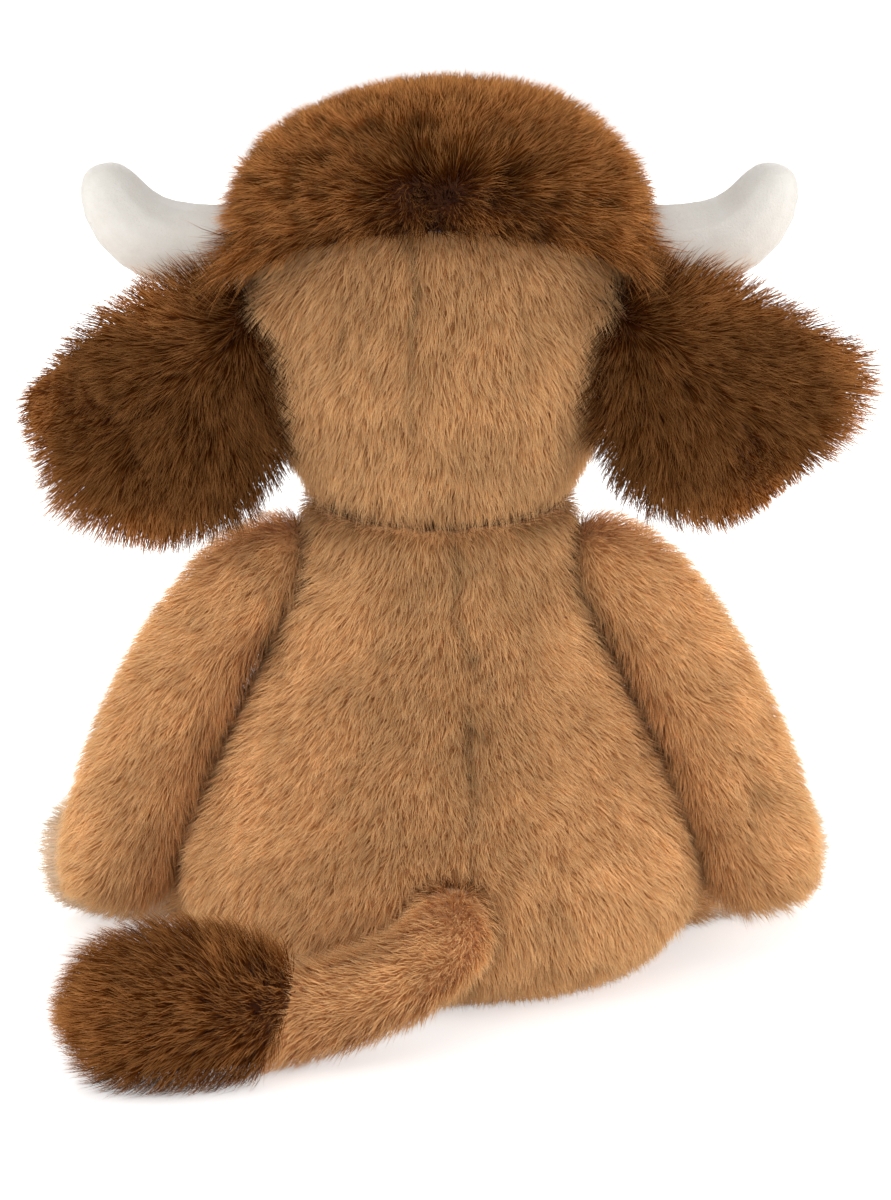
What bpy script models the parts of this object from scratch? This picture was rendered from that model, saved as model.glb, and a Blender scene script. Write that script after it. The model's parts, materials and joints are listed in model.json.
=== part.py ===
# A seated plush cow: sewn pile-fabric skins over stuffing, with a head that turns, arms and legs
# that lift, ears that flap and a tail that swings. Metres, +Z up. The toy faces -Y, its left is +X,
# and the origin is the centre of the flat face that it sits on.

import math

import bmesh
import bpy
from mathutils import Matrix, Vector

# Fabric, seams and running fits
SEAM_GAP = 0.0003
STUFFING_GAP = 0.0010
JOINT_GAP = 0.0006
SKIN = 0.004
LONG_PILE = 0.0065
FLOOR_FLAT = 0.0005
CUTTER_SPAN = 0.6
WELD = 0.00001

# Torso: a pear cut flat underneath, widest low down
TORSO_HEIGHT = 0.150
TORSO_HALF_WIDTH = 0.079
TORSO_HALF_DEPTH = 0.067
TORSO_HEIGHT_SHARES = (0.0, 0.0, 0.095, 0.25, 0.41, 0.57, 0.74, 0.89, 1.0, 1.0)
TORSO_WIDTH_SHARES = (0.50, 0.76, 1.0, 1.0, 0.86, 0.70, 0.56, 0.50, 0.50, 0.28)
BASE_SEAM_HEIGHT = 0.010

# Bag of beans that keeps the toy sitting
POUCH_RADIUS = 0.044
POUCH_HEIGHT = 0.024
POUCH_HEIGHT_SHARES = (0.0, 0.0, 0.25, 0.75, 1.0, 1.0)
POUCH_WIDTH_SHARES = (0.50, 0.90, 1.0, 1.0, 0.80, 0.40)

# Head: round where it sits in the neck dish, wider at the brow
HEAD_HEIGHT = 0.1195
HEAD_HALF_WIDTH = 0.058
HEAD_HALF_DEPTH = 0.0545
NECK_SINK = 0.0115
NECK_OPENING_RADIUS = 0.024
HEAD_HEIGHT_SHARES = (0.0, 0.02, 0.08, 0.17, 0.30, 0.49, 0.67, 0.83, 0.955, 1.0)
HEAD_WIDTH_SHARES = (0.26, 0.53, 0.70, 0.81, 0.90, 0.96, 0.98, 0.89, 0.64, 0.30)
HEAD_DEPTH_SHARES = (0.277, 0.564, 0.745, 0.862, 0.94, 0.97, 0.98, 0.89, 0.64, 0.30)

# Crown of long pile over the top of the head
CROWN_BACK_EDGE_SHARE = 0.761
CROWN_SIDE_DROP = 0.016
CROWN_FORWARD_DIP = 6

# Muzzle and nostrils
MUZZLE_HALF_WIDTH = 0.036
MUZZLE_HALF_HEIGHT = 0.024
MUZZLE_REACH = 0.024
MUZZLE_HEIGHT_SHARE = 0.335
MUZZLE_REACH_SHARES = (-0.9, -0.4, 0.15, 0.6, 0.9, 1.0)
MUZZLE_WIDTH_SHARES = (0.85, 0.97, 1.0, 0.92, 0.64, 0.30)
NOSTRIL_RADIUS = 0.0052
NOSTRIL_SPACING = 0.026
NOSTRIL_RISE = 0.006
NOSTRIL_REACH_SHARE = 0.86

# Eyes: a dome and a post through the skin, held by a washer inside
EYE_RADIUS = 0.0065
EYE_DOME = 0.0042
EYE_SPREAD = 33
EYE_HEIGHT_SHARE = 0.582
POST_RADIUS = 0.002
POST_LENGTH = 0.010
WASHER_RADIUS = 0.008
WASHER_THICKNESS = 0.0015
WASHER_CLEARANCE = 0.0001
WASHER_SEAT_GAP = 0.0016

# Horns: stuffed cones that leave the sides of the head and curve up
HORN_HEIGHT_SHARE = 0.673
HORN_ROOT_RADIUS = 0.0140
HORN_TIP_RADIUS = 0.0096
HORN_REACH = 0.0435
HORN_RISE = 0.0265
HORN_SKIN = 0.0015
HORN_REACH_SHARES = (-0.35, -0.1, 0.25, 0.60, 0.86, 0.98, 1.0)
HORN_RISE_SHARES = (0.0, 0.0, 0.0, 0.06, 0.34, 0.78, 0.98)
HORN_TAPER_SHARES = (0.9, 0.95, 1.0, 1.0, 0.7, 0.0, -1.2)

# Ears: flat pods that hang out and down from behind the temples
EAR_HEIGHT_SHARE = 0.56
EAR_SETBACKS = {"left": 0.019, "right": 0.026}
EAR_LENGTHS = {"left": 0.077, "right": 0.074}
EAR_HALF_WIDTH = 0.033
EAR_HALF_THICKNESS = 0.0085
EAR_DROOPS = {"left": 42, "right": 33}
EAR_LENGTH_SHARES = (0.0, 0.04, 0.20, 0.40, 0.62, 0.83, 0.96, 1.0)
EAR_WIDTH_SHARES = (0.20, 0.46, 0.80, 1.02, 1.06, 1.04, 0.90, 0.52)
EAR_SAG_SHARES = (-0.02, -0.02, 0.06, 0.20, 0.18, 0.09, 0.03, 0.0)
EAR_THICKNESS_SHARES = (0.30, 0.62, 0.90, 1.0, 1.0, 0.85, 0.50, 0.22)

# Ball ends of the limbs and of the tail, which run in sockets of the torso
BALL_END_REACH_SHARES = (0.98, 0.77, 0.0)
BALL_END_RADIUS_SHARES = (0.27, 0.72, 1.0)

# Arms: hang along the flanks
SHOULDER_HEIGHT = 0.126
SHOULDER_RADIUS = 0.0180
SHOULDER_STANDOFF = 0.0122
ARM_RADIUS = 0.0203
HAND_HEIGHT = 0.034
ARM_PATH_SHARES = (0.22, 0.58, 1.0)
ARM_RADIUS_SHARES = (0.87, 1.0, 0.97)
HAND_END_REACH_SHARES = (0.55, 0.75)
HAND_END_RADIUS_SHARES = (0.76, 0.42)
ARM_OPENING_RADIUS = 0.009
FLANK_GAP = 0.0010

# Legs: splayed on the floor
HIP_AZIMUTH = 29
LEG_AZIMUTHS = {"left": 20, "right": 33}
LEG_RADIUS = 0.0210
LEG_LENGTH = 0.0605
LEG_REACH_SHARES = (0.35, 0.70, 0.93, 1.0)
LEG_RADIUS_SHARES = (1.0, 1.0, 0.86, 0.52)
LEG_OPENING_RADIUS = 0.012
SOLE_RADIUS = 0.0155

# Tail: a tube that slopes from the back to the floor, where it ends in a tuft
TAIL_ROOT_HEIGHT = 0.032
TAIL_ROOT_OFFSET = -0.004
TAIL_ROOT_STANDOFF = 0.0025
TAIL_RADIUS = 0.0138
TUFT_RADIUS = 0.0218
TAIL_REACH = 0.106
TAIL_STANDOFF = 0.053
TAIL_REACH_SHARES = (0.02, 0.11, 0.28, 0.46, 0.51, 0.68, 0.90, 1.0)
TAIL_STANDOFF_SHARES = (0.20, 0.38, 0.52, 0.62, 0.65, 0.75, 0.86, 0.90)
TAIL_DROP_SHARES = (0.12, 0.42, 0.75, 0.92, 1.0, 1.0, 1.0, 1.0)
TAIL_TUFT_SHARES = (0.0, 0.0, 0.0, 0.10, 0.60, 1.0, 0.95, -0.60)
TUFT_SEAM_RING = 3
TAIL_OPENING_RADIUS = 0.008

# Facets
BODY_SIDES = 12
BODY_FILLING_SIDES = 8
LIMB_SIDES = 8
LIMB_FILLING_SIDES = 6
HORN_SIDES = 6
BALL_SEGMENTS = 14
BALL_RINGS = 9
ROUND_SEGMENTS = 16

# Colours of the pile, linking each material to its (colour, roughness)
FABRICS = {
    "light_pile": ((0.48, 0.24, 0.10), 0.92),
    "dark_pile": ((0.14, 0.045, 0.014), 0.90),
    "horn_nap": ((0.82, 0.78, 0.72), 0.85),
    "muzzle_nap": ((0.74, 0.55, 0.42), 0.88),
    "lining_nap": ((0.70, 0.48, 0.34), 0.88),
    "thread": ((0.10, 0.045, 0.025), 0.80),
    "stuffing": ((0.86, 0.86, 0.84), 0.95),
    "pouch_cloth": ((0.55, 0.55, 0.56), 0.90),
    "eye_plastic": ((0.012, 0.008, 0.006), 0.12),
    "washer_plastic": ((0.80, 0.80, 0.78), 0.45),
}

X_AXIS = Vector((1, 0, 0))
Y_AXIS = Vector((0, 1, 0))
Z_AXIS = Vector((0, 0, 1))
SIDES = {"left": 1, "right": -1}


def clear_scene():
    for found in list(bpy.data.objects):
        bpy.data.objects.remove(found)


def new_collection(name, hidden):
    made = bpy.data.collections.new(name)
    made.hide_render = hidden
    bpy.context.scene.collection.children.link(made)
    return made


def new_material(name, colour, roughness):
    made = bpy.data.materials.new(name)
    made.use_nodes = True
    shader = made.node_tree.nodes["Principled BSDF"]
    shader.inputs["Base Color"].default_value = (*colour, 1)
    shader.inputs["Roughness"].default_value = roughness
    shader.inputs["Metallic"].default_value = 0
    made.diffuse_color = (*colour, 1)
    return made


def new_cutter(name, mesh):
    made = bpy.data.objects.new(name, mesh)
    cutters.objects.link(made)
    made.hide_render = True
    made.display_type = "WIRE"
    return made


def new_part(name, mesh, fabric, pivot=None):
    """A named piece of the toy, carried by the empty at its joint when it moves."""
    made = bpy.data.objects.new(name, mesh)
    parts.objects.link(made)
    made.data.materials.clear()
    made.data.materials.append(materials[fabric])
    made.data.shade_smooth()
    if pivot:
        made.parent = pivot
        made.matrix_parent_inverse = pivot.matrix_world.inverted()
    return made


def new_pivot(name, place):
    made = bpy.data.objects.new(name, None)
    made.empty_display_size = SHOULDER_RADIUS
    made.location = place
    parts.objects.link(made)
    bpy.context.view_layer.update()
    return made


# Soft forms: rings of points that are joined and rounded


def ring(centre, across, up, half_across, half_up, count):
    """One loop of cage points, let out so that the rounded ring has the sizes asked for."""
    let_out = 4 / (3 + math.cos(math.tau / count))
    turns = [math.tau * i / count for i in range(count)]
    return [
        centre
        + across * (half_across * let_out * math.cos(turn))
        + up * (half_up * let_out * math.sin(turn))
        for turn in turns
    ]


def cage(name, rings):
    shape = bmesh.new()
    loops = [[shape.verts.new(point) for point in points] for points in rings]
    for first, second in zip(loops, loops[1:]):
        for i, corner in enumerate(first):
            j = (i + 1) % len(first)
            shape.faces.new((corner, first[j], second[j], second[i]))
    shape.faces.new(loops[0])
    shape.faces.new(loops[-1])
    bmesh.ops.recalc_face_normals(shape, faces=shape.faces)
    mesh = bpy.data.meshes.new(name)
    shape.to_mesh(mesh)
    shape.free()
    return mesh


def path_rings(points, radii, reference, count, flatness=1):
    """Rings square to a path; reference is the way that half_up follows."""
    rings = []
    for i, point in enumerate(points):
        ahead = (points[min(i + 1, len(points) - 1)] - points[max(i - 1, 0)]).normalized()
        across = reference.cross(ahead).normalized()
        up = ahead.cross(across).normalized()
        rings.append(ring(point, across, up, radii[i], radii[i] * flatness, count))
    return rings


def rounded(piece, grown=0.0):
    """Rounds the cage, then moves the surface out by grown, or in when it's negative."""
    smooth = piece.modifiers.new("Rounded", "SUBSURF")
    smooth.levels = 1
    smooth.render_levels = 1
    if grown:
        offset = piece.modifiers.new("Grown", "DISPLACE")
        offset.mid_level = 0
        offset.strength = grown
    return piece


def walled(piece, thickness):
    wall = piece.modifiers.new("Wall", "SOLIDIFY")
    wall.thickness = thickness
    wall.offset = -1
    return piece


def cut(piece, *tools):
    for tool in tools:
        step = piece.modifiers.new("Cut by " + tool.name, "BOOLEAN")
        step.operation = "DIFFERENCE"
        step.object = tool
    return piece


def kept_in(piece, tool):
    step = piece.modifiers.new("Kept in " + tool.name, "BOOLEAN")
    step.operation = "INTERSECT"
    step.object = tool
    return piece


def ball_cutter(name, centre, radius):
    """A ball whose flats, not its corners, lie at the radius."""
    let_out = 1 / math.cos(math.pi / BALL_SEGMENTS)
    shape = bmesh.new()
    bmesh.ops.create_uvsphere(
        shape, u_segments=BALL_SEGMENTS, v_segments=BALL_RINGS, radius=radius * let_out
    )
    bmesh.ops.translate(shape, verts=shape.verts, vec=centre)
    mesh = bpy.data.meshes.new(name)
    shape.to_mesh(mesh)
    shape.free()
    return new_cutter(name, mesh)


def turned_mesh(name, radius, length, place, direction, segments=ROUND_SEGMENTS):
    """A cylinder whose middle is at place and whose axis is direction."""
    shape = bmesh.new()
    bmesh.ops.create_cone(
        shape,
        cap_ends=True,
        segments=segments,
        radius1=radius,
        radius2=radius,
        depth=length,
    )
    turn = direction.to_track_quat("Z", "Y").to_matrix().to_4x4()
    bmesh.ops.transform(shape, matrix=Matrix.Translation(place) @ turn, verts=shape.verts)
    mesh = bpy.data.meshes.new(name)
    shape.to_mesh(mesh)
    shape.free()
    return mesh


def half_space(name, point, outward):
    """A large block whose one face passes through point; it lies on the outward side."""
    middle = point + outward.normalized() * (CUTTER_SPAN / 2)
    shape = bmesh.new()
    bmesh.ops.create_cube(shape, size=CUTTER_SPAN)
    turn = outward.to_track_quat("Z", "Y").to_matrix().to_4x4()
    bmesh.ops.transform(shape, matrix=Matrix.Translation(middle) @ turn, verts=shape.verts)
    mesh = bpy.data.meshes.new(name)
    shape.to_mesh(mesh)
    shape.free()
    return new_cutter(name, mesh)


def settled(values):
    """Where the rounded surface lies at each inner ring of a cage."""
    inner = zip(values, values[1:], values[2:])
    return [(before + 6 * here + after) / 8 for before, here, after in inner]


def size_at(height, heights, sizes):
    """The rounded form's half width or half depth at a height."""
    levels = settled(heights)
    widths = settled(sizes)
    for low, high, near, far in zip(levels, levels[1:], widths, widths[1:]):
        if height <= high:
            share = max(0, (height - low) / (high - low))
            return near + (far - near) * share
    return widths[-1]


def mixed(first, second, share):
    return first + (second - first) * share


# The upright forms


def torso_sizes():
    heights = [share * TORSO_HEIGHT for share in TORSO_HEIGHT_SHARES]
    heights[:2] = [-FLOOR_FLAT, -FLOOR_FLAT]
    widths = [share * TORSO_HALF_WIDTH for share in TORSO_WIDTH_SHARES]
    depths = [share * TORSO_HALF_DEPTH for share in TORSO_WIDTH_SHARES]
    return heights, widths, depths


def head_level(share):
    return TORSO_HEIGHT - NECK_SINK + HEAD_HEIGHT * share


def head_sizes():
    heights = [head_level(share) for share in HEAD_HEIGHT_SHARES]
    widths = [share * HEAD_HALF_WIDTH for share in HEAD_WIDTH_SHARES]
    depths = [share * HEAD_HALF_DEPTH for share in HEAD_DEPTH_SHARES]
    return heights, widths, depths


def upright_cage(name, sizes, count=BODY_SIDES):
    rings = [
        ring(Z_AXIS * height, X_AXIS, Y_AXIS, width, depth, count)
        for height, width, depth in zip(*sizes)
    ]
    return cage(name, rings)


def torso_half_width(height):
    heights, widths, _ = torso_sizes()
    return size_at(height, heights, widths)


def torso_half_depth(height):
    heights, _, depths = torso_sizes()
    return size_at(height, heights, depths)


def head_half_width(height):
    heights, widths, _ = head_sizes()
    return size_at(height, heights, widths)


def head_half_depth(height):
    heights, _, depths = head_sizes()
    return size_at(height, heights, depths)


def build_torso():
    form = upright_cage("torso_form", torso_sizes())
    below_seam = half_space("below_base_seam", Z_AXIS * (BASE_SEAM_HEIGHT + SEAM_GAP / 2), -Z_AXIS)
    above_seam = half_space("above_base_seam", Z_AXIS * (BASE_SEAM_HEIGHT - SEAM_GAP / 2), Z_AXIS)
    low_sockets = [sockets["leg_left"], sockets["leg_right"]]

    base = new_part("torso_base", form.copy(), "light_pile")
    cut(walled(rounded(base), SKIN), above_seam, floor, *low_sockets)
    for name in SIDES:
        skin = new_part("torso_skin_" + name, form.copy(), "light_pile")
        cut(walled(rounded(skin), SKIN), below_seam, seam_cutters[name], sockets["head"])
        cut(skin, sockets["arm_" + name], sockets["leg_" + name], sockets["tail"])

    filling = upright_cage("torso_filling", torso_sizes(), BODY_FILLING_SIDES)
    stuffing = new_part("torso_stuffing", filling, "stuffing")
    cut(rounded(stuffing, -SKIN - STUFFING_GAP), *sockets.values(), build_bean_pouch())


def build_bean_pouch():
    """Sits on the base panel, in a hollow of the stuffing that is open below."""
    floor_height = SKIN - FLOOR_FLAT + SEAM_GAP
    half_depth = POUCH_RADIUS * TORSO_HALF_DEPTH / TORSO_HALF_WIDTH
    rings = [
        ring(
            Z_AXIS * (floor_height + POUCH_HEIGHT * rise),
            X_AXIS,
            Y_AXIS,
            POUCH_RADIUS * share,
            half_depth * share,
            LIMB_SIDES,
        )
        for rise, share in zip(POUCH_HEIGHT_SHARES, POUCH_WIDTH_SHARES)
    ]
    form = cage("bean_pouch_form", rings)
    rounded(new_part("bean_pouch", form, "pouch_cloth"))
    room = rounded(new_cutter("bean_pouch_room", form.copy()), SEAM_GAP)
    return room


def build_head():
    form = upright_cage("head_form", head_sizes())
    neck_opening = new_cutter(
        "neck_opening",
        turned_mesh(
            "neck_opening",
            NECK_OPENING_RADIUS,
            NECK_SINK * 2,
            Z_AXIS * (TORSO_HEIGHT - NECK_SINK),
            Z_AXIS,
        ),
    )
    posts = []
    washers = []
    for name, side in SIDES.items():
        post_room, washer_room = build_eye(name, side)
        posts.append(post_room)
        washers.append(washer_room)

    for index, name in enumerate(SIDES):
        skin = new_part("head_skin_" + name, form.copy(), "light_pile", head_pivot)
        cut(walled(rounded(skin), SKIN), seam_cutters[name], neck_opening, posts[index])
    filling = upright_cage("head_filling", head_sizes(), BODY_FILLING_SIDES)
    stuffing = new_part("head_stuffing", filling, "stuffing", head_pivot)
    cut(rounded(stuffing, -SKIN - STUFFING_GAP), *washers, *posts)
    return form


def build_eye(name, side):
    """A domed safety eye, its post and washer; returns the room that they take in the head."""
    azimuth = math.radians(EYE_SPREAD)
    height = head_level(EYE_HEIGHT_SHARE)
    place = Vector(
        (
            side * head_half_width(height) * math.sin(azimuth),
            -head_half_depth(height) * math.cos(azimuth),
            height,
        )
    )
    outward = Vector((side * math.sin(azimuth), -math.cos(azimuth), 0))
    back = place + outward * SEAM_GAP

    profile = [(0.0, EYE_DOME)]
    steps = ROUND_SEGMENTS // 4
    for step in range(1, steps + 1):
        turn = math.pi / 2 * step / steps
        profile.append((EYE_RADIUS * math.sin(turn), EYE_DOME * math.cos(turn)))
    profile += [(POST_RADIUS, 0.0), (POST_RADIUS, -POST_LENGTH), (0.0, -POST_LENGTH)]
    shape = bmesh.new()
    outline = [shape.verts.new((across, 0, along)) for across, along in profile]
    for first, second in zip(outline, outline[1:]):
        shape.edges.new((first, second))
    mesh = bpy.data.meshes.new("eye_profile")
    shape.to_mesh(mesh)
    shape.free()
    turn = outward.to_track_quat("Z", "Y").to_matrix().to_4x4()
    eye = new_part("eye_" + name, mesh, "eye_plastic", head_pivot)
    eye.matrix_world = Matrix.Translation(back) @ turn
    spin = eye.modifiers.new("Turned", "SCREW")
    spin.steps = ROUND_SEGMENTS
    spin.render_steps = ROUND_SEGMENTS
    spin.use_merge_vertices = True
    spin.merge_threshold = WELD

    post_room = new_cutter(
        "post_room_" + name,
        turned_mesh(
            "post_room_" + name,
            POST_RADIUS + SEAM_GAP,
            (POST_LENGTH + SEAM_GAP) * 2,
            back,
            outward,
        ),
    )
    hollow = WASHER_RADIUS**2 / (2 * head_half_depth(height))
    seat = back - outward * (SKIN + WASHER_SEAT_GAP + hollow + WASHER_THICKNESS / 2)
    washer_mesh = turned_mesh(
        "eye_washer_" + name, WASHER_RADIUS, WASHER_THICKNESS, seat, outward
    )
    bore = new_cutter(
        "washer_bore_" + name,
        turned_mesh(
            "washer_bore_" + name,
            POST_RADIUS + WASHER_CLEARANCE,
            POST_LENGTH,
            seat,
            outward,
        ),
    )
    cut(new_part("eye_washer_" + name, washer_mesh, "washer_plastic", head_pivot), bore)
    room_depth = WASHER_THICKNESS + SKIN
    washer_room = new_cutter(
        "washer_room_" + name,
        turned_mesh(
            "washer_room_" + name,
            WASHER_RADIUS + SEAM_GAP,
            room_depth,
            seat + outward * (room_depth / 2 - WASHER_THICKNESS / 2 - SEAM_GAP),
            outward,
        ),
    )
    return post_room, washer_room


def build_crown(head_form):
    """Long pile over the skull, cut to a brow line that dips at the temples."""
    edge = head_level(CROWN_BACK_EDGE_SHARE)
    half_span = HEAD_HALF_WIDTH + LONG_PILE
    arc_radius = (half_span**2 + CROWN_SIDE_DROP**2) / (2 * CROWN_SIDE_DROP)
    dip = math.radians(CROWN_FORWARD_DIP)
    along = Vector((0, math.cos(dip), math.sin(dip)))
    back = Vector((0, HEAD_HALF_DEPTH, edge))
    brow = new_cutter(
        "brow_line",
        turned_mesh(
            "brow_line",
            arc_radius,
            CUTTER_SPAN,
            back - Z_AXIS * arc_radius,
            along,
            segments=ROUND_SEGMENTS * 4,
        ),
    )
    crown = new_part("crown_cap", head_form.copy(), "dark_pile", head_pivot)
    rounded(crown, SEAM_GAP + LONG_PILE)
    walled(crown, LONG_PILE)
    cut(crown, brow, horn_rooms["left"], horn_rooms["right"])


def build_horn(name, side):
    """Open where it meets the head, so that its stuffing reaches the head's skin."""
    height = head_level(HORN_HEIGHT_SHARE)
    root = head_half_width(height)
    points = []
    radii = []
    for reach, rise, taper in zip(HORN_REACH_SHARES, HORN_RISE_SHARES, HORN_TAPER_SHARES):
        points.append(Vector((side * (root + HORN_REACH * reach), 0, height + HORN_RISE * rise)))
        radii.append(mixed(HORN_TIP_RADIUS, HORN_ROOT_RADIUS, taper))
    form = cage("horn_form_" + name, path_rings(points, radii, Y_AXIS, HORN_SIDES))
    horn_rooms[name] = rounded(new_cutter("horn_room_" + name, form.copy()), SEAM_GAP)

    skin = new_part("horn_skin_" + name, form.copy(), "horn_nap", head_pivot)
    cut(walled(rounded(skin), HORN_SKIN), head_seat)
    stuffing = new_part("horn_stuffing_" + name, form.copy(), "stuffing", head_pivot)
    cut(rounded(stuffing, -HORN_SKIN - SEAM_GAP), head_seat)


def build_muzzle():
    height = head_level(MUZZLE_HEIGHT_SHARE)
    face = -head_half_depth(height)
    rings = [
        ring(
            Vector((0, face - MUZZLE_REACH * reach, height)),
            X_AXIS,
            Z_AXIS,
            MUZZLE_HALF_WIDTH * share,
            MUZZLE_HALF_HEIGHT * share,
            LIMB_SIDES,
        )
        for reach, share in zip(MUZZLE_REACH_SHARES, MUZZLE_WIDTH_SHARES)
    ]
    form = cage("muzzle_form", rings)
    skin = new_part("muzzle_skin", form.copy(), "muzzle_nap", head_pivot)
    cut(walled(rounded(skin), SKIN), head_seat)
    stuffing = new_part("muzzle_stuffing", form.copy(), "stuffing", head_pivot)
    cut(rounded(stuffing, -SKIN - SEAM_GAP), head_seat)

    muzzle_room = rounded(new_cutter("muzzle_room", form.copy()), SEAM_GAP)
    for name, side in SIDES.items():
        reach = MUZZLE_REACH * NOSTRIL_REACH_SHARE
        place = Vector((side * NOSTRIL_SPACING / 2, face - reach, height + NOSTRIL_RISE))
        shape = bmesh.new()
        bmesh.ops.create_uvsphere(
            shape, u_segments=ROUND_SEGMENTS // 2, v_segments=LIMB_SIDES, radius=NOSTRIL_RADIUS
        )
        bmesh.ops.translate(shape, verts=shape.verts, vec=place)
        mesh = bpy.data.meshes.new("nostril_" + name)
        shape.to_mesh(mesh)
        shape.free()
        cut(new_part("nostril_" + name, mesh, "thread", head_pivot), muzzle_room)


def ear_frame(name, side):
    """The root point on the head's skin, and the directions along and across the ear."""
    height = head_level(EAR_HEIGHT_SHARE)
    droop = math.radians(EAR_DROOPS[name])
    set_back = math.asin(EAR_SETBACKS[name] / head_half_depth(height))
    reach = head_half_width(height) * math.cos(set_back)
    root = Vector((side * reach, EAR_SETBACKS[name], height))
    along = Vector((side * math.cos(droop), 0, -math.sin(droop)))
    across = Vector((side * math.sin(droop), 0, math.cos(droop)))
    return root, along, across


def build_ear(name, side):
    """Two halves sewn round the rim, which sags below the line from root to tip."""
    root, along, across = ear_frame(name, side)
    pivot = new_pivot("ear_pivot_" + name, root)
    shares = zip(EAR_LENGTH_SHARES, EAR_WIDTH_SHARES, EAR_SAG_SHARES, EAR_THICKNESS_SHARES)
    rings = [
        ring(
            root + along * (EAR_LENGTHS[name] * reach) - across * (EAR_HALF_WIDTH * sag),
            across,
            Y_AXIS,
            EAR_HALF_WIDTH * width,
            EAR_HALF_THICKNESS * thickness,
            LIMB_SIDES,
        )
        for reach, width, sag, thickness in shares
    ]
    form = cage("ear_form_" + name, rings)
    front = half_space("front_of_ear_" + name, root + Y_AXIS * (SEAM_GAP / 2), -Y_AXIS)
    behind = half_space("behind_ear_" + name, root - Y_AXIS * (SEAM_GAP / 2), Y_AXIS)
    back = new_part("ear_back_" + name, form.copy(), "dark_pile", pivot)
    cut(rounded(back), front, head_room)
    lining = new_part("ear_lining_" + name, form.copy(), "lining_nap", pivot)
    cut(rounded(lining), behind, head_room)


# The limbs


def ball_end(centre, inward, radius):
    points = [centre + inward * (radius * reach) for reach in BALL_END_REACH_SHARES]
    radii = [radius * share for share in BALL_END_RADIUS_SHARES]
    return points, radii


def build_stuffing(name, points, radii, reference, pivot):
    """Has fewer sides than the skin round it, hence the wider gap."""
    form = cage(name + "_form", path_rings(points, radii, reference, LIMB_FILLING_SIDES))
    rounded(new_part(name, form, "stuffing", pivot), -SKIN - STUFFING_GAP)


def shoulder_point(side):
    reach = torso_half_width(SHOULDER_HEIGHT) + SHOULDER_STANDOFF
    return Vector((side * reach, 0, SHOULDER_HEIGHT))


def arm_path(side):
    """From the ball in the shoulder's socket down along the flank to the hand."""
    shoulder = shoulder_point(side)
    points, radii = ball_end(shoulder, -X_AXIS * side, SHOULDER_RADIUS)
    for share, size in zip(ARM_PATH_SHARES, ARM_RADIUS_SHARES):
        height = mixed(SHOULDER_HEIGHT, HAND_HEIGHT, share)
        below = torso_half_width(height - ARM_RADIUS / 2)
        above = torso_half_width(height + ARM_RADIUS / 2)
        slope = math.atan2(below - above, ARM_RADIUS)
        standoff = (ARM_RADIUS + FLANK_GAP) / math.cos(slope)
        points.append(Vector((side * (torso_half_width(height) + standoff), 0, height)))
        radii.append(ARM_RADIUS * size)
    hand = points[-1]
    down = (hand - points[-2]).normalized()
    for reach, share in zip(HAND_END_REACH_SHARES, HAND_END_RADIUS_SHARES):
        points.append(hand + down * (ARM_RADIUS * reach))
        radii.append(ARM_RADIUS * share)
    return points, radii


def build_arm(name, side):
    points, radii = arm_path(side)
    pivot = new_pivot("arm_pivot_" + name, shoulder_point(side))
    form = cage("arm_form_" + name, path_rings(points, radii, Y_AXIS, LIMB_SIDES))
    opening = ball_cutter("arm_opening_" + name, points[0], ARM_OPENING_RADIUS)
    skin = new_part("arm_skin_" + name, form, "light_pile", pivot)
    cut(walled(rounded(skin), SKIN), opening)
    build_stuffing("arm_stuffing_" + name, points, radii, Y_AXIS, pivot)


def hip_point(side):
    azimuth = math.radians(HIP_AZIMUTH)
    height = LEG_RADIUS - FLOOR_FLAT
    across = torso_half_width(height) * math.cos(azimuth)
    forward = torso_half_depth(height) * math.sin(azimuth)
    return Vector((side * across, -forward, height))


def build_leg(name, side):
    """Lies level; the rings of its end are smaller, but round the same axis."""
    hip = hip_point(side)
    azimuth = math.radians(LEG_AZIMUTHS[name])
    outward = Vector((side * math.cos(azimuth), -math.sin(azimuth), 0))
    points, radii = ball_end(hip, -outward, LEG_RADIUS)
    for reach, share in zip(LEG_REACH_SHARES, LEG_RADIUS_SHARES):
        points.append(hip + outward * (LEG_LENGTH * reach))
        radii.append(LEG_RADIUS * share)

    pivot = new_pivot("leg_pivot_" + name, hip)
    form = cage("leg_form_" + name, path_rings(points, radii, Z_AXIS, LIMB_SIDES))
    opening = ball_cutter("leg_opening_" + name, points[0], LEG_OPENING_RADIUS)
    edge_mesh = turned_mesh(
        "sole_edge_" + name, SOLE_RADIUS + SEAM_GAP, LEG_RADIUS, points[-1], outward
    )
    outline_mesh = turned_mesh(
        "sole_outline_" + name, SOLE_RADIUS, LEG_RADIUS, points[-1], outward
    )
    skin = new_part("leg_skin_" + name, form.copy(), "light_pile", pivot)
    sole_edge = new_cutter("sole_edge_" + name, edge_mesh)
    cut(walled(rounded(skin), SKIN), opening, sole_edge, floor)
    sole = new_part("sole_" + name, form.copy(), "muzzle_nap", pivot)
    kept_in(walled(rounded(sole), SKIN), new_cutter("sole_outline_" + name, outline_mesh))
    build_stuffing("leg_stuffing_" + name, points, radii, Z_AXIS, pivot)


def tail_root():
    back = torso_half_depth(TAIL_ROOT_HEIGHT)
    return Vector((TAIL_ROOT_OFFSET, back + TAIL_ROOT_STANDOFF, TAIL_ROOT_HEIGHT))


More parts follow.
